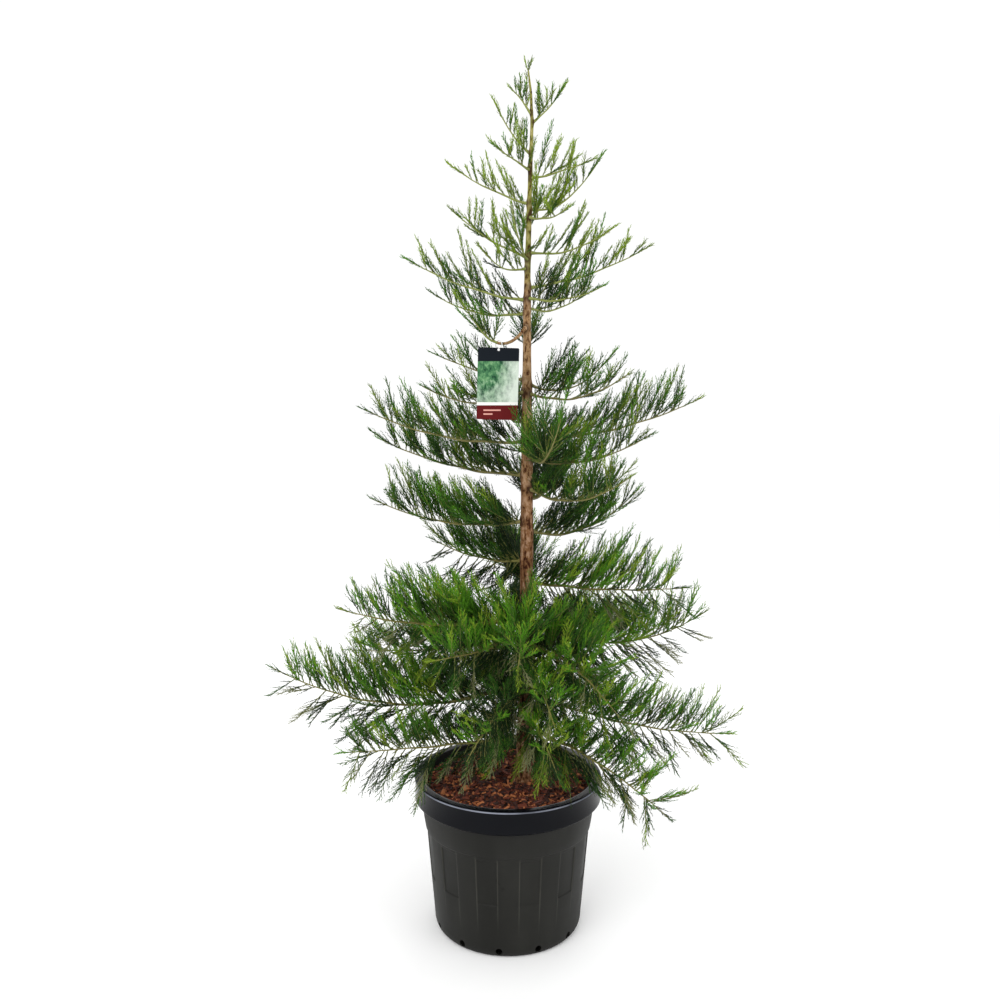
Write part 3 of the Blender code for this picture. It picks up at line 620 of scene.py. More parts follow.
class MulchSettings(bpy.types.PropertyGroup):
    """Sizes and colours of the bark mulch."""

    chips: number("Chips", 4400, 100, 9000, "Number of bark chips")
    chip_length: size("Chip length", 0.011, 0.004, 0.03, "Length of a middling chip")
    dark_colour: colour("Dark chips", tint(60, 30, 22), "Colour of the damp chips")
    red_colour: colour("Red chips", tint(108, 50, 30), "Colour of most chips")
    tan_colour: colour("Tan chips", tint(186, 112, 66), "Colour of the freshly split chips")


class BarkSettings(bpy.types.PropertyGroup):
    """Relief and colours of the trunk and limbs."""

    relief: size("Relief", 0.0011, 0.0, 0.003, "Depth of the bark's furrows low on the trunk")
    low_colour: colour("Low bark", tint(126, 88, 58), "Red-brown bark near the soil")
    middle_colour: colour("Middle bark", tint(160, 126, 88), "Tan bark half way up")
    top_colour: colour("Top bark", tint(138, 136, 68), "Olive bark of this year's growth")
    knot_colour: colour("Knots", tint(58, 40, 28), "Dark bark where boughs leave the trunk")


class FoliageSettings(bpy.types.PropertyGroup):
    """How finely the twigs and needles are carried out."""

    fill: number("Twigs between", 3, 0, 6, "Finer twigs between each pair of the frame's")
    shoot_spacing: size("Shoot spacing", 0.0053, 0.003, 0.02, "Between side shoots on a twig")
    needle_spacing: size("Needle spacing", 0.0040, 0.001, 0.01, "Between needles along a shoot")
    needle_length: size("Needle length", 0.0080, 0.002, 0.01, "Length of a middling needle")
    needle_width: size("Needle width", 0.0019, 0.0004, 0.003, "Width of a needle at its root")
    brightness: amount("Brightness", 1.0, 0.2, 3.0, "Scales the greens of all needles")


class TagSettings(bpy.types.PropertyGroup):
    """Shape of the hanging tag."""

    corner: size("Corner", 0.003, 0.0005, 0.01, "Radius of the card's corners")
    bow: size("Bow", 0.0015, 0.0, 0.005, "How far the card bows")


class StageSettings(bpy.types.PropertyGroup):
    """Floor, light and camera."""

    sky: amount("Sky", 1.04, 0.0, 5.0, "Strength of the even white light from all round")
    key: amount("Key light", 55.0, 0.0, 500.0, "Watts of the large soft light in front")
    fill: amount("Fill light", 18.0, 0.0, 500.0, "Watts of the soft light from the other side")
    camera_height: size("Camera height", 1.16, 0.2, 3.0, "Height of the camera")
    camera_distance: size("Camera distance", 2.0, 1.0, 6.0, "How far the camera stands in front")
    camera_tilt: bpy.props.FloatProperty(
        name="Camera tilt", description="Angle that the camera looks down",
        default=math.radians(6.9), subtype="ANGLE", unit="ROTATION")


# ---------------------------------------------------------------- lines of the plant
def trunk_line(heights):
    """The trunk's middle and radius at heights above the floor."""
    above = np.asarray(heights, float) - SOIL_TOP - GAP
    stations = np.array(TRUNK_STATIONS)
    x, y, radius = (np.interp(above, stations[:, 0], stations[:, k]) for k in (1, 2, 3))
    return np.stack((x, y, np.asarray(heights, float)), -1), radius


def bough_line(bough, out):
    """Points on a bough's line at level distances out from the trunk's middle."""
    out = np.asarray(out, float)
    share = out / bough.reach
    curl = 2.0 * bough.rise - 4.0 * bough.half
    slope = 4.0 * bough.half - bough.rise
    angle = math.radians(bough.azimuth)
    level = np.array((math.cos(angle), math.sin(angle), 0.0))
    root, _ = trunk_line(bough.height)
    return root + level * out[..., None] + UP * (slope * share + curl * share * share)[..., None]


def unit(rows):
    """Rows scaled to length one."""
    return rows / np.linalg.norm(rows, axis=-1, keepdims=True)


def bough_way(bough, out):
    """A bough's direction at level distances out."""
    out = np.asarray(out, float)
    return unit(bough_line(bough, out + 0.002) - bough_line(bough, out - 0.002))


def clear_of_trunk(bough):
    """The level distance at which a bough's line leaves the bark."""
    return float(trunk_line(bough.height)[1]) + 2.0 * GAP


def limb_radius(bough, out):
    """A bare limb's radius at a level distance out from the trunk."""
    climb = clamped((bough.height - THINNER_ABOVE) / THINNER_OVER)
    taper = LIMB_RADIUS + (LIMB_TIP_RADIUS - LIMB_RADIUS) * out / bough.limb
    return taper * (1.0 - LIMB_THINNING * climb)


def tag_place():
    """Where the tag's loop hangs, the bough's direction there, and the bough."""
    bough = next(b for b in BOUGHS if b.name == TAG_BOUGH)
    return bough_line(bough, TAG_PLACE), bough_way(bough, TAG_PLACE), bough


# ---------------------------------------------------------------- spaces
def distances(points, starts, ends):
    """Distance from each point to each straight piece."""
    along = ends - starts
    share = (points @ along.T - (starts * along).sum(1)) / (along * along).sum(1)
    share = np.clip(share, 0.0, 1.0)
    gap = points[:, None, :] - starts[None] - share[:, :, None] * along[None]
    return np.sqrt((gap * gap).sum(2))


class Spaces:
    """Knows each mass's stem, and the limbs that no twig may touch."""

    AT_ONCE = 2000              # points measured at a time, to save memory
    LIMB_PIECES = 4

    def __init__(self):
        starts, ends, owners = [], [], []
        for index, bough in enumerate(BOUGHS):
            out = np.linspace(clear_of_trunk(bough), bough.reach, LINE_PIECES + 1)
            line = bough_line(bough, out)
            starts.append(line[:-1])
            ends.append(line[1:])
            owners += [index] * LINE_PIECES
        self.stems = np.concatenate(starts), np.concatenate(ends)
        self.owners = np.array(owners)
        middle, radius = trunk_line([TRUNK_FOOT + station[0] for station in TRUNK_STATIONS])
        starts, ends, radii = [middle[:-1]], [middle[1:]], [radius[:-1]]
        for bough in LIMBED:
            line = bough_line(bough, np.linspace(0.0, bough.limb, self.LIMB_PIECES + 1))
            starts.append(line[:-1])
            ends.append(line[1:])
            radii.append(np.full(self.LIMB_PIECES, limb_radius(bough, 0.0)))
        self.limbs = np.concatenate(starts), np.concatenate(ends), np.concatenate(radii)
        self.tag = tag_place()[0]

    def free(self, points, radius, owners):
        """Which points are in their own mass's space, clear of limbs, pot and tag."""
        result = []
        for low in range(0, len(points), self.AT_ONCE):
            spots, own = points[low:low + self.AT_ONCE], owners[low:low + self.AT_ONCE]
            away = distances(spots, *self.stems)
            mine = own[:, None] == self.owners[None]
            near = np.where(mine, away, np.inf).min(1)
            other = np.where(mine, np.inf, away).min(1)
            good = (near + 2.0 * radius + 2.0 * GAP <= other + MINGLE) | (own < 0)
            starts, ends, radii = self.limbs
            good &= (distances(spots, starts, ends) >= radii + radius + CLEARANCE).all(1)
            over = np.hypot(spots[:, 0], spots[:, 1]) < RIM_RADIUS + radius + CLEARANCE
            good &= ~(over & (spots[:, 2] < LOWEST_TWIG + radius))
            margin = radius + TAG_CLEARANCE
            aside = np.abs(spots - self.tag)
            below = self.tag[2] + TAG_LOOP_RADIUS - spots[:, 2]
            good &= ~((aside[:, 0] < 0.5 * TAG_WIDTH + margin)
                      & (aside[:, 1] < TAG_LOOP_RADIUS + margin) & (below > -margin)
                      & (below < TAG_HEIGHT + 3.0 * TAG_LOOP_RADIUS + margin))
            result.append(good)
        return np.concatenate(result) if result else np.zeros(0, bool)


# ---------------------------------------------------------------- twigs and needles
class Shoots:
    """Many thin shoots held as arrays: place, direction, bend, length, radius, mass and tone."""

    FIELDS = ("start", "way", "bend", "length", "radius", "owner", "tone")

    def __init__(self, **arrays):
        for field in self.FIELDS:
            setattr(self, field, np.asarray(arrays[field]))

    def __len__(self):
        return len(self.length)

    def at(self, share):
        """Points at a share of each shoot's length."""
        share = np.asarray(share)[..., None] if np.ndim(share) else share
        return self.start + (self.way * share + self.bend * share * share) * self.length[:, None]

    def heading(self, share):
        """Directions at a share of each shoot's length."""
        share = np.asarray(share)[..., None] if np.ndim(share) else share
        return unit(self.way + 2.0 * self.bend * share)

    def kept(self, which):
        """The shoots that a mask or a list of indices names."""
        return Shoots(**{field: getattr(self, field)[which] for field in self.FIELDS})

    def fitted(self, spaces, probes, margin):
        """Shoots cut back until they stay in their own space; those that can't are left out."""
        best = np.zeros(len(self))
        for share in SHORTER:
            left = np.flatnonzero(best == 0.0)
            if not len(left):
                break
            trial = self.kept(left)
            trial.length = trial.length * share
            good = np.ones(len(left), bool)
            for probe in probes:
                good &= spaces.free(trial.at(probe), margin, trial.owner)
            best[left[good]] = share
        made = self.kept(best > 0.0)
        made.length = made.length * best[best > 0.0]
        return made


def joined_shoots(groups):
    """Several groups of shoots as one."""
    return Shoots(**{f: np.concatenate([getattr(g, f) for g in groups]) for f in Shoots.FIELDS})


def leaning(along, roll, angle):
    """Directions at an angle to a stem, rolled round it from straight up."""
    side = unit(np.cross(along, UP))
    top = np.cross(side, along)
    out = side * np.sin(roll)[:, None] + top * np.cos(roll)[:, None]
    lift = TWIG_LIFT * np.maximum(0.0, np.cos(roll))
    return unit(along * np.cos(angle)[:, None] + out * np.sin(angle)[:, None] + UP * lift[:, None])


def mass_twigs(index, bough, fill):
    """The twigs of one mass: the frame's own, and finer ones between them."""
    rng = random.Random(SEED + index)       # draws in the frame's order
    fine = np.random.default_rng(SEED + 100 + index)
    start = bough.limb + 2.0 * GAP if bough.limb else 0.0
    tip_spray = min(TIP_SPRAY, 0.4 * bough.reach)
    end = bough.reach - 0.8 * tip_spray
    rng.uniform(-0.5, 0.5)                  # the frame turns its tip spray by this
    longest = min(LONGEST_SPRAY, TWIG_REACH + TWIG_REACH_SHARE * bough.reach)
    first = max(start, clear_of_trunk(bough))
    count = max(2, round((end - first) / TWIG_SPACING))
    low = bough.height < HANG_BELOW
    lush = clamped((LUSH_BELOW - bough.height) / LUSH_OVER)
    upright = max(lush, float(bough.height > UPRIGHT_ABOVE))
    rows = []
    for k in range(count):
        share = (k + 0.6) / count
        roll = TWIG_ROLLS[(k + index) % len(TWIG_ROLLS)] + rng.uniform(-15.0, 15.0)
        if low and k % 3 == 1:
            roll = math.copysign(HANG_ROLL, roll) + rng.uniform(-20.0, 20.0)
        angle = TWIG_ANGLE + rng.uniform(-8.0, 8.0)
        length = longest * (1.0 - TWIG_SHRINK * share) * rng.uniform(0.85, 1.1)
        rng.uniform(-0.3, 0.3)              # and its side sprays by this
        rows.append((share, roll, angle, length))
        more = fill + round(lush * (LUSH_TWIGS + LUSH_INNER_TWIGS * (1.0 - share)))
        clump = fine.uniform(0.78, 1.22)
        for j in range(more):
            between = (k + (j + 0.5 + fine.uniform(-0.3, 0.3)) / more) / count
            roll = TWIG_ROLLS[(3 * k + 2 * j + index + 1) % len(TWIG_ROLLS)]
            roll += fine.uniform(-22.0, 22.0)
            roll *= 1.0 - upright * fine.uniform(0.0, 0.3)
            if low and (k + j) % 4 == 2:
                roll = math.copysign(HANG_ROLL, roll) + fine.uniform(-30.0, 30.0)
            length = longest * (1.0 - FINER_SHRINK * between) * fine.uniform(0.58, 1.02)
            length = length * (1.0 + LUSH_LENGTH * lush) * clump
            angle = TWIG_ANGLE + fine.uniform(-16.0, 14.0) + LUSH_ANGLE * lush
            rows.append((between, roll, angle, length))
    shares, rolls, angles, lengths = np.array(rows).T
    out = first + (end - first) * shares
    along = bough_way(bough, out)
    way = leaning(along, np.radians(rolls), np.radians(angles))
    droops = np.abs(rolls) >= DROOPING
    aside = np.where(droops, fine.uniform(-0.35, 0.35, len(rows)), 0.0)
    bend = UP * np.where(droops, -0.06, 0.20)[:, None] + along * 0.06
    bend = bend + np.cross(along, UP) * aside[:, None]
    tip_root = bough_line(bough, end)
    tip_line = bough_line(bough, bough.reach) - tip_root
    size = len(rows)
    twigs = Shoots(start=bough_line(bough, out), way=way, bend=bend, length=lengths,
                   radius=0.0007 + 0.006 * lengths, owner=np.full(size, index),
                   tone=np.zeros(size, int))
    tip = Shoots(start=tip_root[None], way=unit(tip_line)[None], bend=np.zeros((1, 3)),
                 length=[np.linalg.norm(tip_line)], radius=[0.0011], owner=[index], tone=[0])
    return twigs, tip


def dealt(shoots, spacing, crowded=1.0):
    """Places to fill along shoots: whose each is, its order there and how many there are."""
    counts = np.maximum(3, np.round(crowded * shoots.length / spacing)).astype(int)
    parent = np.repeat(np.arange(len(shoots)), counts)
    order = np.concatenate([np.arange(n) for n in counts])
    return parent, order, counts


def side_shoots(twigs, spacing, fine):
    """Alternate side shoots along each twig, swept forward like the teeth of a comb."""
    high = np.clip((twigs.start[:, 2] - COMB_ABOVE) / COMB_OVER, 0.0, 1.0)
    parent, order, counts = dealt(twigs, spacing, 0.90 * (1.0 + COMB_SHARE * high))
    share = 0.10 + 0.88 * (order + fine.uniform(0.2, 0.8, len(order))) / counts[parent]
    stem = twigs.kept(parent)
    head = stem.heading(share)
    side = unit(np.cross(head, UP) + 1e-6)
    top = np.cross(side, head)
    hand = np.where(order % 2 == 0, 1.0, -1.0)
    roll = fine.normal(0.0, 0.55, len(order)) + np.where(order % 5 == 4, 1.2, 0.0)
    out = side * (hand * np.cos(roll))[:, None] + top * np.sin(roll)[:, None]
    swing = np.radians(fine.normal(SHOOT_ANGLE, 5.0, len(order)) - COMB_ANGLE * high[parent])
    way = unit(head * np.cos(swing)[:, None] + out * np.sin(swing)[:, None] + UP * 0.08)
    taper = np.power(1.0 - share, 0.75) * (0.55 + 0.45 * np.minimum(1.0, share / 0.25))
    reach_share = SHOOT_REACH_SHARE * (1.0 - COMB_SHARE * high[parent])
    length = SHOOT_REACH + reach_share * stem.length * taper
    length = length * fine.uniform(0.78, 1.2, len(order))
    bend = head * 0.10 + UP * 0.05
    luck = fine.uniform(0.0, 1.0, len(order))
    # Shoots near a twig's base take a darker green as painted shade inside the spray; about half of
    # those near its tip take a lighter green, partly the paler new growth and partly painted light.
    tone = np.where(share < 0.34, SHADED_BASE_TONE[stem.tone], stem.tone)
    tone = np.where((share > 0.66) & (luck < 0.55), YOUNG_LIT_TIP_TONE[stem.tone], tone)
    return Shoots(start=stem.at(share), way=way, bend=bend, length=length,
                  radius=np.full(len(order), SHOOT_RADIUS), owner=stem.owner, tone=tone)


def shoot_tubes(shoots, sides, rings):
    """Closed tapering tubes, one to each shoot, ending in a point."""
    turns = 2.0 * np.pi * np.arange(sides) / sides
    count = len(shoots)
    places = np.empty((count, rings * sides + 1, 3))
    for ring in range(rings):
        share = ring / rings
        head = shoots.heading(share)
        side = unit(np.cross(head, UP + 0.013))
        top = np.cross(side, head)
        radius = shoots.radius * (1.0 - 0.62 * share)
        for k, turn in enumerate(turns):
            spoke = side * math.cos(turn) + top * math.sin(turn)
            places[:, ring * sides + k] = shoots.at(share) + spoke * radius[:, None]
    places[:, -1] = shoots.at(1.0)
    faces = []
    for ring in range(rings - 1):
        for k in range(sides):
            a, b = ring * sides + k, ring * sides + (k + 1) % sides
            faces += [(a, a + sides, b), (b, a + sides, b + sides)]
    last = (rings - 1) * sides
    faces += [(last + k, rings * sides, last + (k + 1) % sides) for k in range(sides)]
    faces += [(0, k, k + 1) for k in range(1, sides - 1)]
    return places, np.array(faces)


def stacked(places, faces):
    """Many copies' places and faces as the arrays of one mesh."""
    count, size = places.shape[:2]
    shift = (np.arange(count) * size)[:, None, None]
    return places.reshape(-1, 3), (faces[None] + shift).reshape(-1, 3)


def needle_places(shoots, spacing, length, width, fine):
    """Keeled awl-shaped needles, spiralling along each shoot, four corners to each."""
    parent, order, counts = dealt(shoots, spacing)
    share = (order + 0.7) / counts[parent]
    stem = shoots.kept(parent)
    head = stem.heading(share)
    side = unit(np.cross(head, UP + 0.013))
    top = np.cross(side, head)
    turn = np.radians(NEEDLE_TURN) * order + fine.uniform(0.0, 6.283, len(shoots))[parent]
    out = side * np.cos(turn)[:, None] + top * np.sin(turn)[:, None]
    tilt = np.radians(fine.normal(NEEDLE_TILT, 4.0, len(order)) - 8.0 * share)
    axis = head * np.cos(tilt)[:, None] + out * np.sin(tilt)[:, None]
    across = np.cross(head, out)
    keel = np.cross(across, axis)
    long = length * (1.0 - 0.30 * share) * fine.uniform(0.8, 1.2, len(order))
    root = stem.at(share) + out * (0.4 * stem.radius)[:, None]
    places = np.empty((len(order), 4, 3))
    places[:, 0] = root + across * (0.5 * width)
    places[:, 1] = root - across * (0.5 * width)
    places[:, 2] = root + keel * (0.45 * width)
    places[:, 3] = root + axis * long[:, None]
    return places, stem.tone


NEEDLE_FACES = np.array(((0, 3, 2), (1, 2, 3), (0, 1, 3)))

TONES = (  # name, screen colour
    ("spring", (128, 156, 40)),
    ("fresh", (84, 140, 24)),
    ("leaf", (62, 108, 20)),
    ("olive", (94, 116, 28)),
    ("deep", (44, 84, 18)),
    # the darkest green, dealt out as painted shade
    ("shade", (26, 50, 14)),
    ("straw", (124, 128, 88)),
)
SPRING, FRESH, LEAF, OLIVE, DEEP, PAINTED_SHADE, STRAW = range(len(TONES))
# Each tone's lighter green, for spray tips (paler new growth and painted light), and its darker
# green, for spray bases (painted shade).
YOUNG_LIT_TIP_TONE = np.array((SPRING, SPRING, FRESH, SPRING, LEAF, DEEP, STRAW))
SHADED_BASE_TONE = np.array((OLIVE, LEAF, DEEP, DEEP, PAINTED_SHADE, PAINTED_SHADE, PAINTED_SHADE))
MOST_TRIANGLES = 190000         # in one piece

# Where the greens change: heights above the floor, and distances from the trunk.
TOP_FROM, SKIRT_TO, SKIRT_FRESH_FROM = 1.42, 0.86, 0.60
# INNER_TO: nearer the trunk than this, sprays take the darkest green as painted shade.
OUTER_FROM, INNER_TO = 0.30, 0.13
HANGING = -0.15                 # a twig that points down more than this hangs


def about(values, middle, half):
    """Which values lie within half a width of a middle."""
    return np.abs(values - middle) < half


def deal_tones(twigs, fine):
    """Which green each twig's spray takes, by its height, its side and its depth in the crown; the
    darkest green is painted shade, dealt inside the crown, in a hollow of the skirt and to some
    hanging sprays.
    """
    tips = twigs.at(1.0)
    middle, _ = trunk_line(tips[:, 2])
    depth = np.hypot(*(tips - middle)[:, :2].T)
    luck = fine.uniform(0.0, 1.0, len(twigs))
    tone = np.full(len(twigs), LEAF)
    high, low = tips[:, 2] > TOP_FROM, tips[:, 2] < SKIRT_TO
    tone[luck < 0.30] = OLIVE
    tone[luck > 0.62] = DEEP
    tone[high & (luck < 0.45)] = OLIVE
    tone[high & (luck > 0.62)] = SPRING
    tone[low & (luck < 0.46)] = FRESH
    tone[low & (tips[:, 2] > SKIRT_FRESH_FROM) & (luck > 0.42) & (luck < 0.60)] = FRESH
    tone[low & (luck > 0.95)] = SPRING
    tone[(depth > OUTER_FROM) & low & (luck < 0.20)] = OLIVE
    # Sprays near the trunk, but for the top and the front, take the darkest green: painted shade
    # inside the crown.
    shaded_inside = (depth < INNER_TO) & ~high & (tips[:, 1] > -0.10)
    tone[shaded_inside & (luck < 0.65)] = PAINTED_SHADE
    # The skirt has a dark hollow on its left, given the darkest green as painted shade where its
    # inside lies in shadow, and bright plumes fall in front on its right.
    across, ahead, rise = tips.T
    shaded_hollow = about(rise, 0.55, 0.08) & about(across, -0.07, 0.09) & (ahead > -0.22)
    tone[shaded_hollow & (luck < 0.75)] = PAINTED_SHADE
    plume = about(rise, 0.55, 0.13) & about(across, 0.11, 0.09) & (ahead < -0.10)
    tone[plume & (luck < 0.62)] = FRESH
    tone[plume & (luck > 0.90)] = SPRING
    # Hanging sprays take a mix of dark greens and straw; the darkest of them is painted shade under
    # the boughs.
    hanging = twigs.way[:, 2] < HANGING
    choices = luck[hanging] < 0.36, luck[hanging] < 0.62, luck[hanging] < 0.78
    tone[hanging] = np.select(choices, (PAINTED_SHADE, DEEP, OLIVE), STRAW)
    return tone


def pieces_of(count_each, total):
    """Even runs of items so that each run stays under the most triangles a piece may have."""
    parts = max(1, math.ceil(total * count_each / MOST_TRIANGLES))
    edges = np.linspace(0, total, parts + 1).astype(int)
    return list(zip(edges[:-1], edges[1:]))


# ---------------------------------------------------------------- operators
class SEQUOIA_OT_pot(bpy.types.Operator):
    """Build the ribbed nursery pot"""

    bl_idname = "sequoia.pot"
    bl_label = "Pot"

    def execute(self, context):
        settings = context.scene.sequoia_pot
        pot = self.draw_up(settings.sides)
        self.press_flutes(pot, settings)
        apply_modifier(pot, "BEVEL", width=0.0005, segments=2, limit_method="ANGLE",
                       angle_limit=math.radians(24.0))
        self.drill_holes(pot)
        fasten(pot, "pot_shell", wall_finish(settings), "pot", "pot")
        pot.data.materials.append(lip_finish(settings))
        lip_foot = POT_HEIGHT - LIP_DEPTH - LIP_TURN
        for face in pot.data.polygons:
            outside = math.hypot(face.center.x, face.center.y) > COLLAR_RADIUS
            face.material_index = int(face.center.z > lip_foot + 0.0005 and outside)
        rounded(28.0)
        return {"FINISHED"}

    @staticmethod
    def wall(height):
        """Outer radius of the wall between foot and collar."""
        share = (height - FOOT_HEIGHT) / (COLLAR_FOOT - FOOT_HEIGHT)
        return BASE_RADIUS + share * (COLLAR_FOOT_RADIUS - STEP_IN - BASE_RADIUS)

    def profile(self):
        """Radius and height of each ring, from the underside up the wall and down inside."""
        def arc(middle, radius, first, last, steps):
            return [(middle[0] + radius * math.cos(a), middle[1] + radius * math.sin(a))
                    for a in np.radians(np.linspace(first, last, steps))]

        lip_foot = POT_HEIGHT - LIP_DEPTH
        mouth = self.wall(POT_HEIGHT) - WALL
        rows = [(0.70 * FOOT_RADIUS, 0.0), (FOOT_RADIUS, 0.0)]
        rows += [(FOOT_RADIUS + 0.012 * math.sin(a), FOOT_HEIGHT * (1.0 - math.cos(a)))
                 for a in np.radians((24, 42, 58, 74))]
        rows += [(self.wall(FOOT_HEIGHT), FOOT_HEIGHT)]
        rows += [(self.wall(h), h) for h in (0.05, 0.085, FLUTE_LOW, 0.148, 0.181, FLUTE_HIGH)]
        rows += [(self.wall(COLLAR_FOOT), COLLAR_FOOT - STEP_IN), (COLLAR_FOOT_RADIUS, COLLAR_FOOT)]
        rows += [(COLLAR_FOOT_RADIUS + 0.003, 0.240), (COLLAR_RADIUS, COLLAR_TOP)]
        rows += [(COLLAR_RADIUS + 0.001, lip_foot - LIP_TURN)]
        rows += [(RIM_RADIUS - 0.0035, lip_foot - 0.0020)]
        rows += [(RIM_RADIUS - 0.001, lip_foot), (RIM_RADIUS - 0.0015, lip_foot + 0.004)]
        rows += [(RIM_RADIUS - 0.0022, lip_foot + 0.020), (RIM_RADIUS - 0.0012, POT_HEIGHT - 0.010)]
        rows += arc((RIM_RADIUS - RIM_ROUND, POT_HEIGHT - RIM_ROUND), RIM_ROUND, 8.0, 90.0, 6)
        rows += [(mouth + 0.006, POT_HEIGHT), (mouth + 0.002, POT_HEIGHT - 0.0006)]
        rows += [(mouth, POT_HEIGHT - 0.003), (self.wall(0.25) - WALL, 0.25)]
        rows += [(self.wall(FOOT_HEIGHT) - WALL, FOOT_HEIGHT), (FOOT_RADIUS - WALL, FLOOR)]
        return rows

    def draw_up(self, sides):
        """A disc is drawn up ring by ring into the closed shell."""
        rows = self.profile()
        pot = disc(sides, rows[0][0])
        bpy.ops.object.mode_set(mode="EDIT")
        bpy.ops.mesh.select_all(action="SELECT")
        for (radius, height), (wider, higher) in zip(rows, rows[1:]):
            draw_out(0.0, 0.0, higher - height)
            bpy.ops.transform.resize(value=(wider / radius, wider / radius, 1.0))
        face_outward()
        bpy.ops.object.mode_set(mode="OBJECT")
        return pot

    def press_flutes(self, pot, settings):
        """Insets the flutes' faces and pushes them in."""
        def in_flute(centre, normal):
            if not FLUTE_LOW < centre.z < FLUTE_HIGH:
                return False
            if math.hypot(centre.x, centre.y) < self.wall(centre.z) - 0.5 * WALL:
                return False
            angle = math.degrees(math.atan2(centre.y, centre.x)) % (360.0 / FLUTES)
            return abs(angle - 180.0 / FLUTES) < FLUTE_HALF_ANGLE

        take(pot)
        pick_faces(pot, in_flute)
        bpy.ops.mesh.inset(thickness=settings.flute_edge, depth=-settings.flute_depth)
        bpy.ops.object.mode_set(mode="OBJECT")

    def drill_holes(self, pot):
        """Cuts the drain holes through the rounded foot."""
        drills = []
        radius = BASE_RADIUS - WALL
        for index in range(HOLES):
            turn = 2.0 * math.pi * (index + 0.5) / HOLES + math.radians(HOLE_TURN)
            start_clean()
            bpy.ops.mesh.primitive_cylinder_add(
                vertices=20, radius=HOLE_RADIUS, depth=DRILL_LENGTH,
                location=(radius * math.cos(turn), radius * math.sin(turn), HOLE_HEIGHT),
                rotation=(0.0, math.radians(HOLE_SLANT), turn))
            drills.append(bpy.context.object)
        start_clean()
        for drill in drills:
            drill.select_set(True)
        bpy.context.view_layer.objects.active = drills[0]
        bpy.ops.object.join()
        cut(pot, drills[0])


class SEQUOIA_OT_mulch(bpy.types.Operator):
    """Fill the pot with bark mulch"""

    bl_idname = "sequoia.mulch"
    bl_label = "Bark mulch"

    def execute(self, context):
        settings = context.scene.sequoia_mulch
        mouth = SEQUOIA_OT_pot.wall(SOIL_TOP) - WALL - 2.0 * GAP
        self.bed(mouth, settings)
        kinds = (("dark", settings.dark_colour, 0.42), ("red", settings.red_colour, 0.40),
                 ("tan", settings.tan_colour, 0.18))
        fine = np.random.default_rng(SEED + 7)
        for name, tone, share in kinds:
            count = int(share * settings.chips)
            places, faces = self.chips(count, mouth, settings.chip_length, fine)
            chips = mesh_from("chips", *stacked(places, faces), smooth=False)
            finish = plain_finish(f"mulch_{name}", tone, 0.9)
            fasten(chips, f"mulch_chips_{name}", finish, "mulch", "mulch")
        return {"FINISHED"}

    @staticmethod
    def bed(mouth, settings):
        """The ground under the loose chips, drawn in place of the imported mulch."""
        rings = 24
        bed = disc(96, mouth, SOIL_TOP - 0.005)
        bpy.ops.object.mode_set(mode="EDIT")
        bpy.ops.mesh.select_all(action="SELECT")
        draw_out(0.0, 0.0, -0.020)
        face_outward()
        pick_faces(bed, lambda centre, normal: normal.z > 0.5)
        for _ in range(rings - 2):
            bpy.ops.mesh.inset(thickness=mouth / rings, depth=0.0)
        bpy.ops.object.mode_set(mode="OBJECT")
        places = vertex_array(bed.data, "co")
        top = places[:, 2] > -0.001
        inside = np.hypot(places[:, 0], places[:, 1]) < mouth - 0.001
        rough = lumps(places * 160.0, 3) + 0.6 * lumps(places * 420.0, 4) - 0.8
        places[:, 2] += np.where(top & inside, 0.0045 * rough, 0.0)
        bed.data.vertices.foreach_set("co", places.ravel())
        finish = Finish("mulch_bed", settings.dark_colour, 0.95)
        speckle = finish.noise(260.0, 5.0)
        tone = finish.mix(finish.band(speckle, 0.40, 0.65), tint(40, 20, 15), settings.red_colour)
        finish = finish.wear(tone, None, speckle, 0.8, 0.003)
        fasten(bed, "mulch_bed", finish, "mulch", "mulch")

    @staticmethod
    def chips(count, mouth, length, fine):
        """Loose split chips of eight corners each, lying at all angles."""
        spread = np.sqrt(fine.uniform(0.0, 1.0, count)) * (mouth - 0.006)
        turn = fine.uniform(0.0, 2.0 * np.pi, count)
        middle = np.stack((spread * np.cos(turn), spread * np.sin(turn),
                           SOIL_TOP + fine.uniform(-0.006, 0.0035, count)), -1)
        long = length * np.exp(fine.normal(0.0, 0.38, count))
        wide = long * fine.uniform(0.22, 0.55, count)
        thick = np.clip(long * fine.uniform(0.10, 0.22, count), 0.0010, 0.0035)
        heading = fine.uniform(0.0, 2.0 * np.pi, count)
        pitch, roll = fine.normal(0.0, 0.28, count), fine.normal(0.0, 0.35, count)
        ahead = np.stack((np.cos(heading) * np.cos(pitch), np.sin(heading) * np.cos(pitch),
                          np.sin(pitch)), -1)
        level = unit(np.cross(ahead, UP))
        above = np.cross(level, ahead)
        side = level * np.cos(roll)[:, None] + above * np.sin(roll)[:, None]
        face = np.cross(side, ahead)
        places = np.empty((count, 8, 3))
        for corner, (a, b, c) in enumerate(np.ndindex(2, 2, 2)):
            cross = (b - 0.5) * wide * fine.uniform(0.45, 1.0, count)
            end = (a - 0.5) * long * fine.uniform(0.75, 1.0, count)
            lift = (c - 0.5) * thick * fine.uniform(0.6, 1.0, count)
            places[:, corner] = (middle + ahead * end[:, None] + side * cross[:, None]
                                 + face * lift[:, None])
        reach = np.hypot(places[..., 0], places[..., 1])
        pull = np.minimum(1.0, (mouth - 0.0005) / np.maximum(reach, 1e-9)).min(1)
        places[..., :2] *= pull[:, None, None]
        box = ((0, 1, 3), (0, 3, 2), (4, 6, 7), (4, 7, 5), (0, 4, 5), (0, 5, 1),
               (2, 3, 7), (2, 7, 6), (0, 2, 6), (0, 6, 4), (1, 5, 7), (1, 7, 3))
        return places, np.array(box)


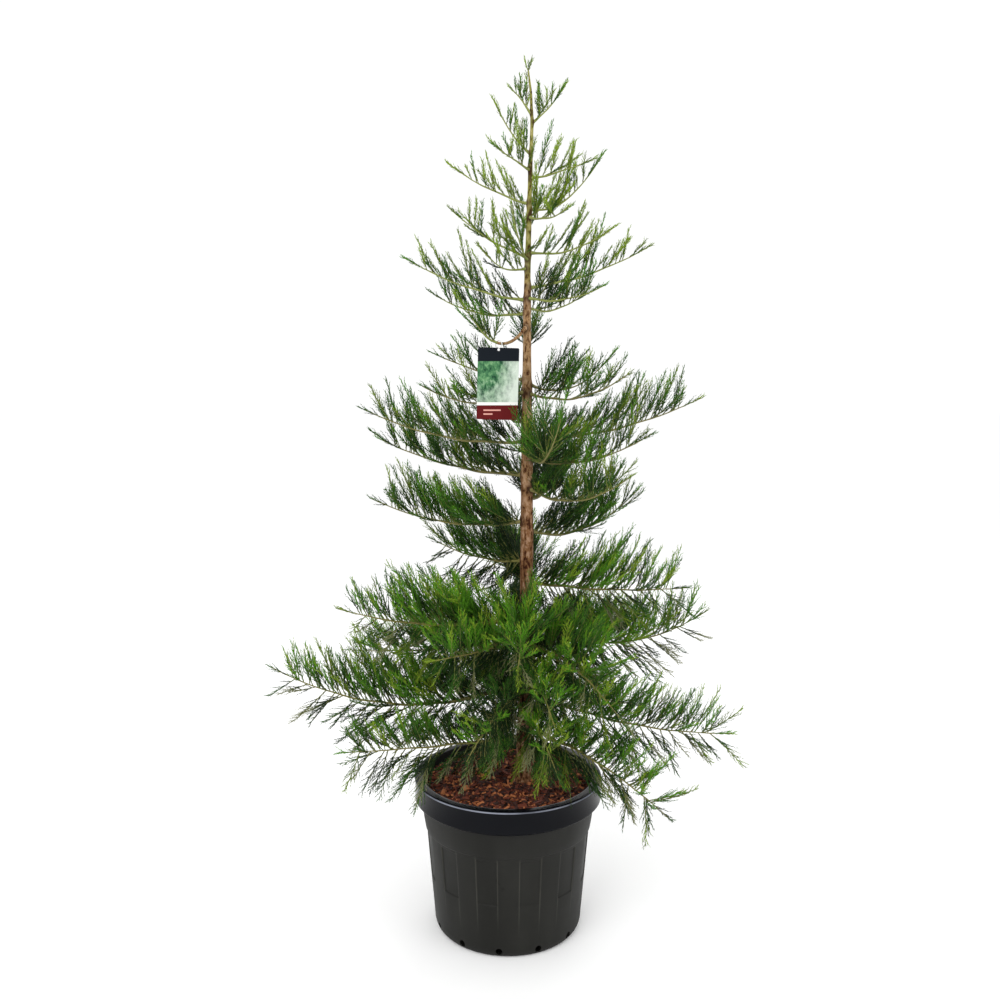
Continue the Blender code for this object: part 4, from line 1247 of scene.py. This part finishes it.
class SEQUOIA_OT_wood(bpy.types.Operator):
    """Build the trunk, its limbs and the stems inside the foliage, with the bark's relief"""

    bl_idname = "sequoia.wood"
    bl_label = "Trunk and boughs"

    def execute(self, context):
        settings = context.scene.sequoia_bark
        bark = bark_finish(settings)
        self.trunk(settings, bark)
        self.limbs(bark)
        self.stems()
        return {"FINISHED"}

    @staticmethod
    def drawn(name, lines, roundness):
        """A mesh of round tubes, one to each line of points and radii, with closed ends."""
        curve = bpy.data.curves.new(name, "CURVE")
        curve.dimensions = "3D"
        curve.bevel_depth = 1.0
        curve.bevel_resolution = roundness
        curve.use_fill_caps = True
        for points, radii in lines:
            spline = curve.splines.new("POLY")
            spline.points.add(len(points) - 1)
            corners = np.column_stack((points, np.ones(len(points))))
            spline.points.foreach_set("co", corners.ravel())
            spline.points.foreach_set("radius", np.asarray(radii, float))
        obj = bpy.data.objects.new(name, curve)
        bpy.context.scene.collection.objects.link(obj)
        take(obj)
        bpy.ops.object.convert(target="MESH")
        bpy.ops.object.mode_set(mode="EDIT")
        bpy.ops.mesh.select_all(action="SELECT")
        bpy.ops.mesh.remove_doubles(threshold=0.00002)
        face_outward()
        bpy.ops.object.mode_set(mode="OBJECT")
        return obj

    def trunk(self, settings, bark):
        """The trunk from its flat cut and root flare to its tip, with knots at the boughs."""
        heights = np.arange(TRUNK_FOOT + 0.002, TRUNK_TOP, TRUNK_RINGS)
        heights = np.concatenate(([TRUNK_FOOT], heights, [TRUNK_TOP]))
        middle, radius = trunk_line(heights)
        smooth = np.convolve(np.pad(radius, 3, mode="edge"), np.ones(7) / 7.0, mode="valid")
        radius = np.where(heights < TRUNK_FOOT + 0.02, radius, smooth)
        trunk = self.drawn("trunk", [(middle, radius)], 22)
        places = vertex_array(trunk.data, "co")
        furrow = lumps(places * np.array((260.0, 260.0, 32.0)), 1)
        plates = lumps(places * np.array((130.0, 130.0, 48.0)), 2)
        fade = np.clip((1.35 - places[:, 2]) / 0.9, 0.12, 1.0)
        ridge = np.abs(2.0 * furrow - 1.0) - 0.5 + 0.7 * (plates - 0.5)
        push = settings.relief * fade * ridge
        knot = np.zeros(len(places))
        for bough in BOUGHS:
            root = bough_line(bough, clear_of_trunk(bough))
            size = 0.0045 + 0.012 * bough.reach
            near = np.exp(-(((places - root) / np.array((size, size, 1.3 * size))) ** 2).sum(1))
            push += 0.35 * size * near
            knot = np.maximum(knot, np.exp(-((places - root) ** 2).sum(1) / (1.35 * size) ** 2))
        push_out(trunk, np.where(places[:, 2] > TRUNK_FOOT + 0.0005, push, 0.0))
        keep_number(trunk, "knot", np.clip(1.1 * knot, 0.0, 0.9))
        fasten(trunk, "trunk_bark", bark, "bark", "trunk")
        rounded(60.0)

    @staticmethod
    def collar(bough, out, size, spread):
        """How much thicker a stem is where it leaves the trunk."""
        return 1.0 + size * np.exp(-((out - clear_of_trunk(bough)) / spread) ** 2)

    def limbs(self, bark):
        """The bare limbs between the trunk and their foliage."""
        lines = []
        for bough in LIMBED:
            out = np.linspace(0.4 * clear_of_trunk(bough), bough.limb + 0.004, 40)
            radii = LIMB_SLIMMER * limb_radius(bough, out) * self.collar(bough, out, 0.35, 0.010)
            lines.append((bough_line(bough, out), radii))
        limbs = self.drawn("limbs", lines, 6)
        places = vertex_array(limbs.data, "co")
        grain = lumps(places * 420.0, 5) + 0.5 * lumps(places * 900.0, 6) - 0.75
        push_out(limbs, 0.0006 * grain)
        keep_number(limbs, "knot", np.clip(3.0 * (lumps(places * 70.0, 9) - 0.72), 0.0, 0.8))
        names = [f"bough_{bough.name}" for bough in LIMBED]
        fasten(limbs, "limb_bark", bark, "bark", *names)
        rounded(60.0)

    def stem(self, bough):
        """A stem's line and its radii, from the trunk or the limb's end to its tip."""
        start = bough.limb if bough.limb else 0.4 * clear_of_trunk(bough)
        out = np.linspace(start, bough.reach - 0.004, max(8, int(bough.reach / 0.007)))
        share = (out - out[0]) / (out[-1] - out[0])
        if bough.limb:
            thick, flare = LIMB_SLIMMER * limb_radius(bough, bough.limb), 1.0
        else:
            thick = 0.0010 + 0.0026 * min(1.0, 0.30 + 1.8 * bough.reach)
            flare = self.collar(bough, out, 0.5, 0.008)
        radii = (thick + (0.0008 - thick) * np.power(share, 0.8)) * flare
        sway = 0.0020 * np.sin(out * 62.0 + bough.azimuth)
        sway = sway * np.minimum(1.0, share * 4.0) * (1.0 - share)
        return bough_line(bough, out) + UP * sway[:, None], radii

    def stems(self):
        """The stems that run on through each mass, browner low down and greener above."""
        tiers = (("low", 0.0, 0.80, tint(122, 116, 58)), ("middle", 0.80, 1.25, tint(118, 112, 62)),
                 ("high", 1.25, 9.0, tint(128, 136, 66)))
        for name, low, high, tone in tiers:
            tier = [bough for bough in BOUGHS if low <= bough.height < high]
            stems = self.drawn("stems", [self.stem(bough) for bough in tier], 2)
            push_out(stems, 0.0006 * (lumps(vertex_array(stems.data, "co") * 500.0, 8) - 0.5))
            names = [f"foliage_{bough.name}" for bough in tier]
            fasten(stems, f"stems_{name}", plain_finish(f"stem_{name}", tone, 0.7), "bark", *names)
            rounded(60.0)


class SEQUOIA_OT_foliage(bpy.types.Operator):
    """Grow the twigs, side shoots and needles of every mass"""

    bl_idname = "sequoia.foliage"
    bl_label = "Foliage"

    def execute(self, context):
        settings = context.scene.sequoia_foliage
        fine = np.random.default_rng(SEED + 5000)
        spaces = Spaces()
        grown = [mass_twigs(index, bough, settings.fill) for index, bough in enumerate(BOUGHS)]
        twigs = joined_shoots([pair[0] for pair in grown])
        twigs = twigs.fitted(spaces, TWIG_PROBES, TWIG_MARGIN)
        tips = joined_shoots([pair[1] for pair in grown] + [self.leader()])
        twigs = joined_shoots([twigs, tips])
        twigs.tone = deal_tones(twigs, fine)
        shoots = side_shoots(twigs, settings.shoot_spacing, fine)
        shoots = shoots.fitted(spaces, SHOOT_PROBES, SHOOT_MARGIN)
        nodes = ["foliage_leader"] + [f"foliage_{bough.name}" for bough in BOUGHS]
        wood = mesh_from("twigs", *stacked(*shoot_tubes(twigs, sides=4, rings=4)))
        finish = plain_finish("twig_bark", tint(110, 112, 52), 0.65)
        fasten(wood, "twigs", finish, "foliage", *nodes)
        covered = joined_shoots([twigs, shoots])
        needles, tones = needle_places(covered, settings.needle_spacing, settings.needle_length,
                                       settings.needle_width, fine)
        for tone, (name, screen) in enumerate(TONES):
            base = [min(1.0, settings.brightness * c) for c in tint(*screen)]
            green = plain_finish(f"needles_{name}", base, 0.6, Specular_IOR_Level=0.18)
            cords = shoots.kept(shoots.tone == tone)
            if len(cords):
                tubes = mesh_from("cords", *stacked(*shoot_tubes(cords, sides=3, rings=1)))
                fasten(tubes, f"shoots_{name}", green, "foliage", *nodes)
            mine = needles[tones == tone]
            for part, (low, high) in enumerate(pieces_of(len(NEEDLE_FACES), len(mine))):
                made = mesh_from("needles", *stacked(mine[low:high], NEEDLE_FACES))
                fasten(made, f"needles_{name}_{part + 1}", green, "foliage", *nodes)
        return {"FINISHED"}

    @staticmethod
    def leader():
        """The young shoots that top the trunk."""
        turns = np.radians((200.0, 320.0, 80.0))
        climb = np.array((2.6, 2.2, 1.8))
        way = unit(np.stack((np.cos(turns), np.sin(turns), climb), -1))
        tip, _ = trunk_line(TRUNK_TOP)
        start = tip + UP * (-0.002 + 0.002 * np.arange(3))[:, None]
        return Shoots(start=start, way=way, bend=np.zeros((3, 3)), length=[0.023, 0.021, 0.018],
                      radius=[0.0009] * 3, owner=[-1] * 3, tone=[0] * 3)


class SEQUOIA_OT_tag(bpy.types.Operator):
    """Hang the plain card tag on its bough"""

    bl_idname = "sequoia.tag"
    bl_label = "Tag"

    def execute(self, context):
        settings = context.scene.sequoia_tag
        here, along, holder = tag_place()
        lift = limb_radius(holder, TAG_PLACE) + 3.0 * GAP - TAG_LOOP_RADIUS + TAG_STRAP_RADIUS
        centre = here + UP * lift
        top = centre - UP * (TAG_LOOP_RADIUS - TAG_STRAP_RADIUS)
        self.card(top, settings)
        self.strap(centre, along)
        return {"FINISHED"}

    @staticmethod
    def card(top, settings):
        """A thin card with rounded corners and a punched hole, bowed a little."""
        start_clean()
        upright = (math.radians(90.0), 0.0, 0.0)
        bpy.ops.mesh.primitive_plane_add(size=1.0, location=(0.0, 0.0, 0.0), rotation=upright)
        card = bpy.context.object
        card.scale = (TAG_WIDTH, TAG_HEIGHT, 1.0)
        bpy.ops.object.transform_apply(location=True, rotation=True, scale=True)
        bpy.ops.object.mode_set(mode="EDIT")
        bpy.ops.mesh.select_all(action="SELECT")
        bpy.ops.mesh.bevel(offset=settings.corner, segments=5, affect="VERTICES")
        bpy.ops.mesh.select_all(action="SELECT")
        draw_out(0.0, -0.8 * TAG_THICKNESS, 0.0)
        face_outward()
        for k in range(1, TAG_STRIPS):
            bpy.ops.mesh.select_all(action="SELECT")
            bpy.ops.mesh.bisect(plane_co=((k / TAG_STRIPS - 0.5) * TAG_WIDTH, 0.0, 0.0),
                                plane_no=(1.0, 0.0, 0.0))
        bpy.ops.object.mode_set(mode="OBJECT")
        start_clean()
        bpy.ops.mesh.primitive_cylinder_add(
            vertices=24, radius=PUNCH_RADIUS, depth=0.02,
            location=(0.0, 0.0, 0.5 * TAG_HEIGHT - PUNCH_BELOW), rotation=upright)
        cut(card, bpy.context.object)
        places = vertex_array(card.data, "co")
        across = places[:, 0] / (0.5 * TAG_WIDTH)
        places[:, 1] += settings.bow * (across ** 2 - 0.4) + 0.4 * TAG_THICKNESS
        lean = math.radians(TAG_LEAN)
        places[:, 2] -= 0.5 * TAG_HEIGHT
        x, z = places[:, 0].copy(), places[:, 2].copy()
        places[:, 0] = x * math.cos(lean) + z * math.sin(lean) + top[0]
        places[:, 2] = -x * math.sin(lean) + z * math.cos(lean) + top[2]
        places[:, 1] += top[1]
        card.data.vertices.foreach_set("co", places.ravel())
        card.data.update()
        finish = card_finish(float(top[0]), float(top[2]) - TAG_HEIGHT)
        fasten(card, "tag_card", finish, "tag", "tag")
        rounded(30.0)

    @staticmethod
    def strap(centre, along):
        """The looped strap that the card hangs by."""
        start_clean()
        side = unit(np.cross(UP, along))
        turned = np.stack((side, np.cross(along, side), along))
        bpy.ops.mesh.primitive_torus_add(
            major_radius=TAG_LOOP_RADIUS, minor_radius=TAG_STRAP_RADIUS, major_segments=48,
            minor_segments=8)
        loop = bpy.context.object
        places = vertex_array(loop.data, "co")
        loop.data.vertices.foreach_set("co", (places @ turned + centre).ravel())
        finish = plain_finish("strap_nylon", tint(226, 226, 220), 0.35)
        fasten(loop, "tag_strap", finish, "tag", "tag")
        rounded(60.0)


class SEQUOIA_OT_stage(bpy.types.Operator):
    """Set the pale floor, the soft lights and the camera"""

    bl_idname = "sequoia.stage"
    bl_label = "Stage"

    def execute(self, context):
        settings = context.scene.sequoia_stage
        scene = context.scene
        floor = disc(64, FLOOR_RADIUS)
        floor.name = "floor"
        finish = plain_finish("floor_white", (0.97, 0.97, 0.97), 0.9, Specular_IOR_Level=0.0)
        floor.data.materials.append(finish)
        world = bpy.data.worlds.new("white_room")
        world.use_nodes = True
        sky = world.node_tree.nodes["Background"].inputs
        sky["Color"].default_value = (1.0, 1.0, 1.0, 1.0)
        sky["Strength"].default_value = settings.sky
        scene.world = world
        scene.view_settings.view_transform = "Standard"
        self.light("key", (-1.6, -2.6, 3.0), 2.4, settings.key)
        self.light("fill", (2.6, -1.6, 2.2), 2.0, settings.fill)
        self.light("rim", (0.8, 2.8, 2.8), 2.0, settings.fill)
        bpy.ops.object.camera_add(
            location=(CAMERA_ASIDE, -settings.camera_distance, settings.camera_height),
            rotation=(math.radians(90.0) - settings.camera_tilt, 0.0, 0.0))
        camera = bpy.context.object
        camera.data.lens = CAMERA_LENS
        camera.data.sensor_width = CAMERA_SENSOR
        camera.data.clip_end = 200.0
        scene.camera = camera
        return {"FINISHED"}

    @staticmethod
    def light(name, place, width, watts):
        """A large soft square light that faces the crown."""
        bpy.ops.object.light_add(type="AREA", location=place)
        lamp = bpy.context.object
        lamp.name = name
        lamp.data.size = width
        lamp.data.energy = watts
        aim = np.array(LIGHTS_AIM) - np.array(place)
        level = math.hypot(aim[0], aim[1])
        lamp.rotation_euler = (math.atan2(level, -aim[2]), 0.0, math.atan2(-aim[0], aim[1]))


class SEQUOIA_PT_workshop(bpy.types.Panel):
    """Lists the plant's pieces, each with its settings"""

    bl_label = "Young Giant Sequoia"
    bl_idname = "SEQUOIA_PT_workshop"
    bl_space_type = "VIEW_3D"
    bl_region_type = "UI"
    bl_category = "Sequoia"

    def draw(self, context):
        for operator, group in STEPS:
            box = self.layout.box()
            box.operator(operator.bl_idname)
            settings = getattr(context.scene, group)
            for key in settings.__annotations__:
                box.prop(settings, key)


STEPS = (
    (SEQUOIA_OT_stage, "sequoia_stage"),
    (SEQUOIA_OT_pot, "sequoia_pot"),
    (SEQUOIA_OT_mulch, "sequoia_mulch"),
    (SEQUOIA_OT_wood, "sequoia_bark"),
    (SEQUOIA_OT_foliage, "sequoia_foliage"),
    (SEQUOIA_OT_tag, "sequoia_tag"),
)
GROUPS = {
    "sequoia_stage": StageSettings,
    "sequoia_pot": PotSettings,
    "sequoia_mulch": MulchSettings,
    "sequoia_bark": BarkSettings,
    "sequoia_foliage": FoliageSettings,
    "sequoia_tag": TagSettings,
}


def register():
    """Registers the settings, the operators and the panel."""
    for name, group in GROUPS.items():
        bpy.utils.register_class(group)
        setattr(bpy.types.Scene, name, bpy.props.PointerProperty(type=group))
    for operator, _ in STEPS:
        bpy.utils.register_class(operator)
    bpy.utils.register_class(SEQUOIA_PT_workshop)


def unregister():
    """Takes them out again."""
    bpy.utils.unregister_class(SEQUOIA_PT_workshop)
    for operator, _ in reversed(STEPS):
        bpy.utils.unregister_class(operator)
    for name, group in reversed(GROUPS.items()):
        delattr(bpy.types.Scene, name)
        bpy.utils.unregister_class(group)


def main():
    """Builds every piece in order."""
    register()
    bpy.ops.sequoia.stage()
    bpy.ops.sequoia.pot()
    bpy.ops.sequoia.mulch()
    bpy.ops.sequoia.wood()
    bpy.ops.sequoia.foliage()
    bpy.ops.sequoia.tag()


if __name__ == "__main__":
    main()
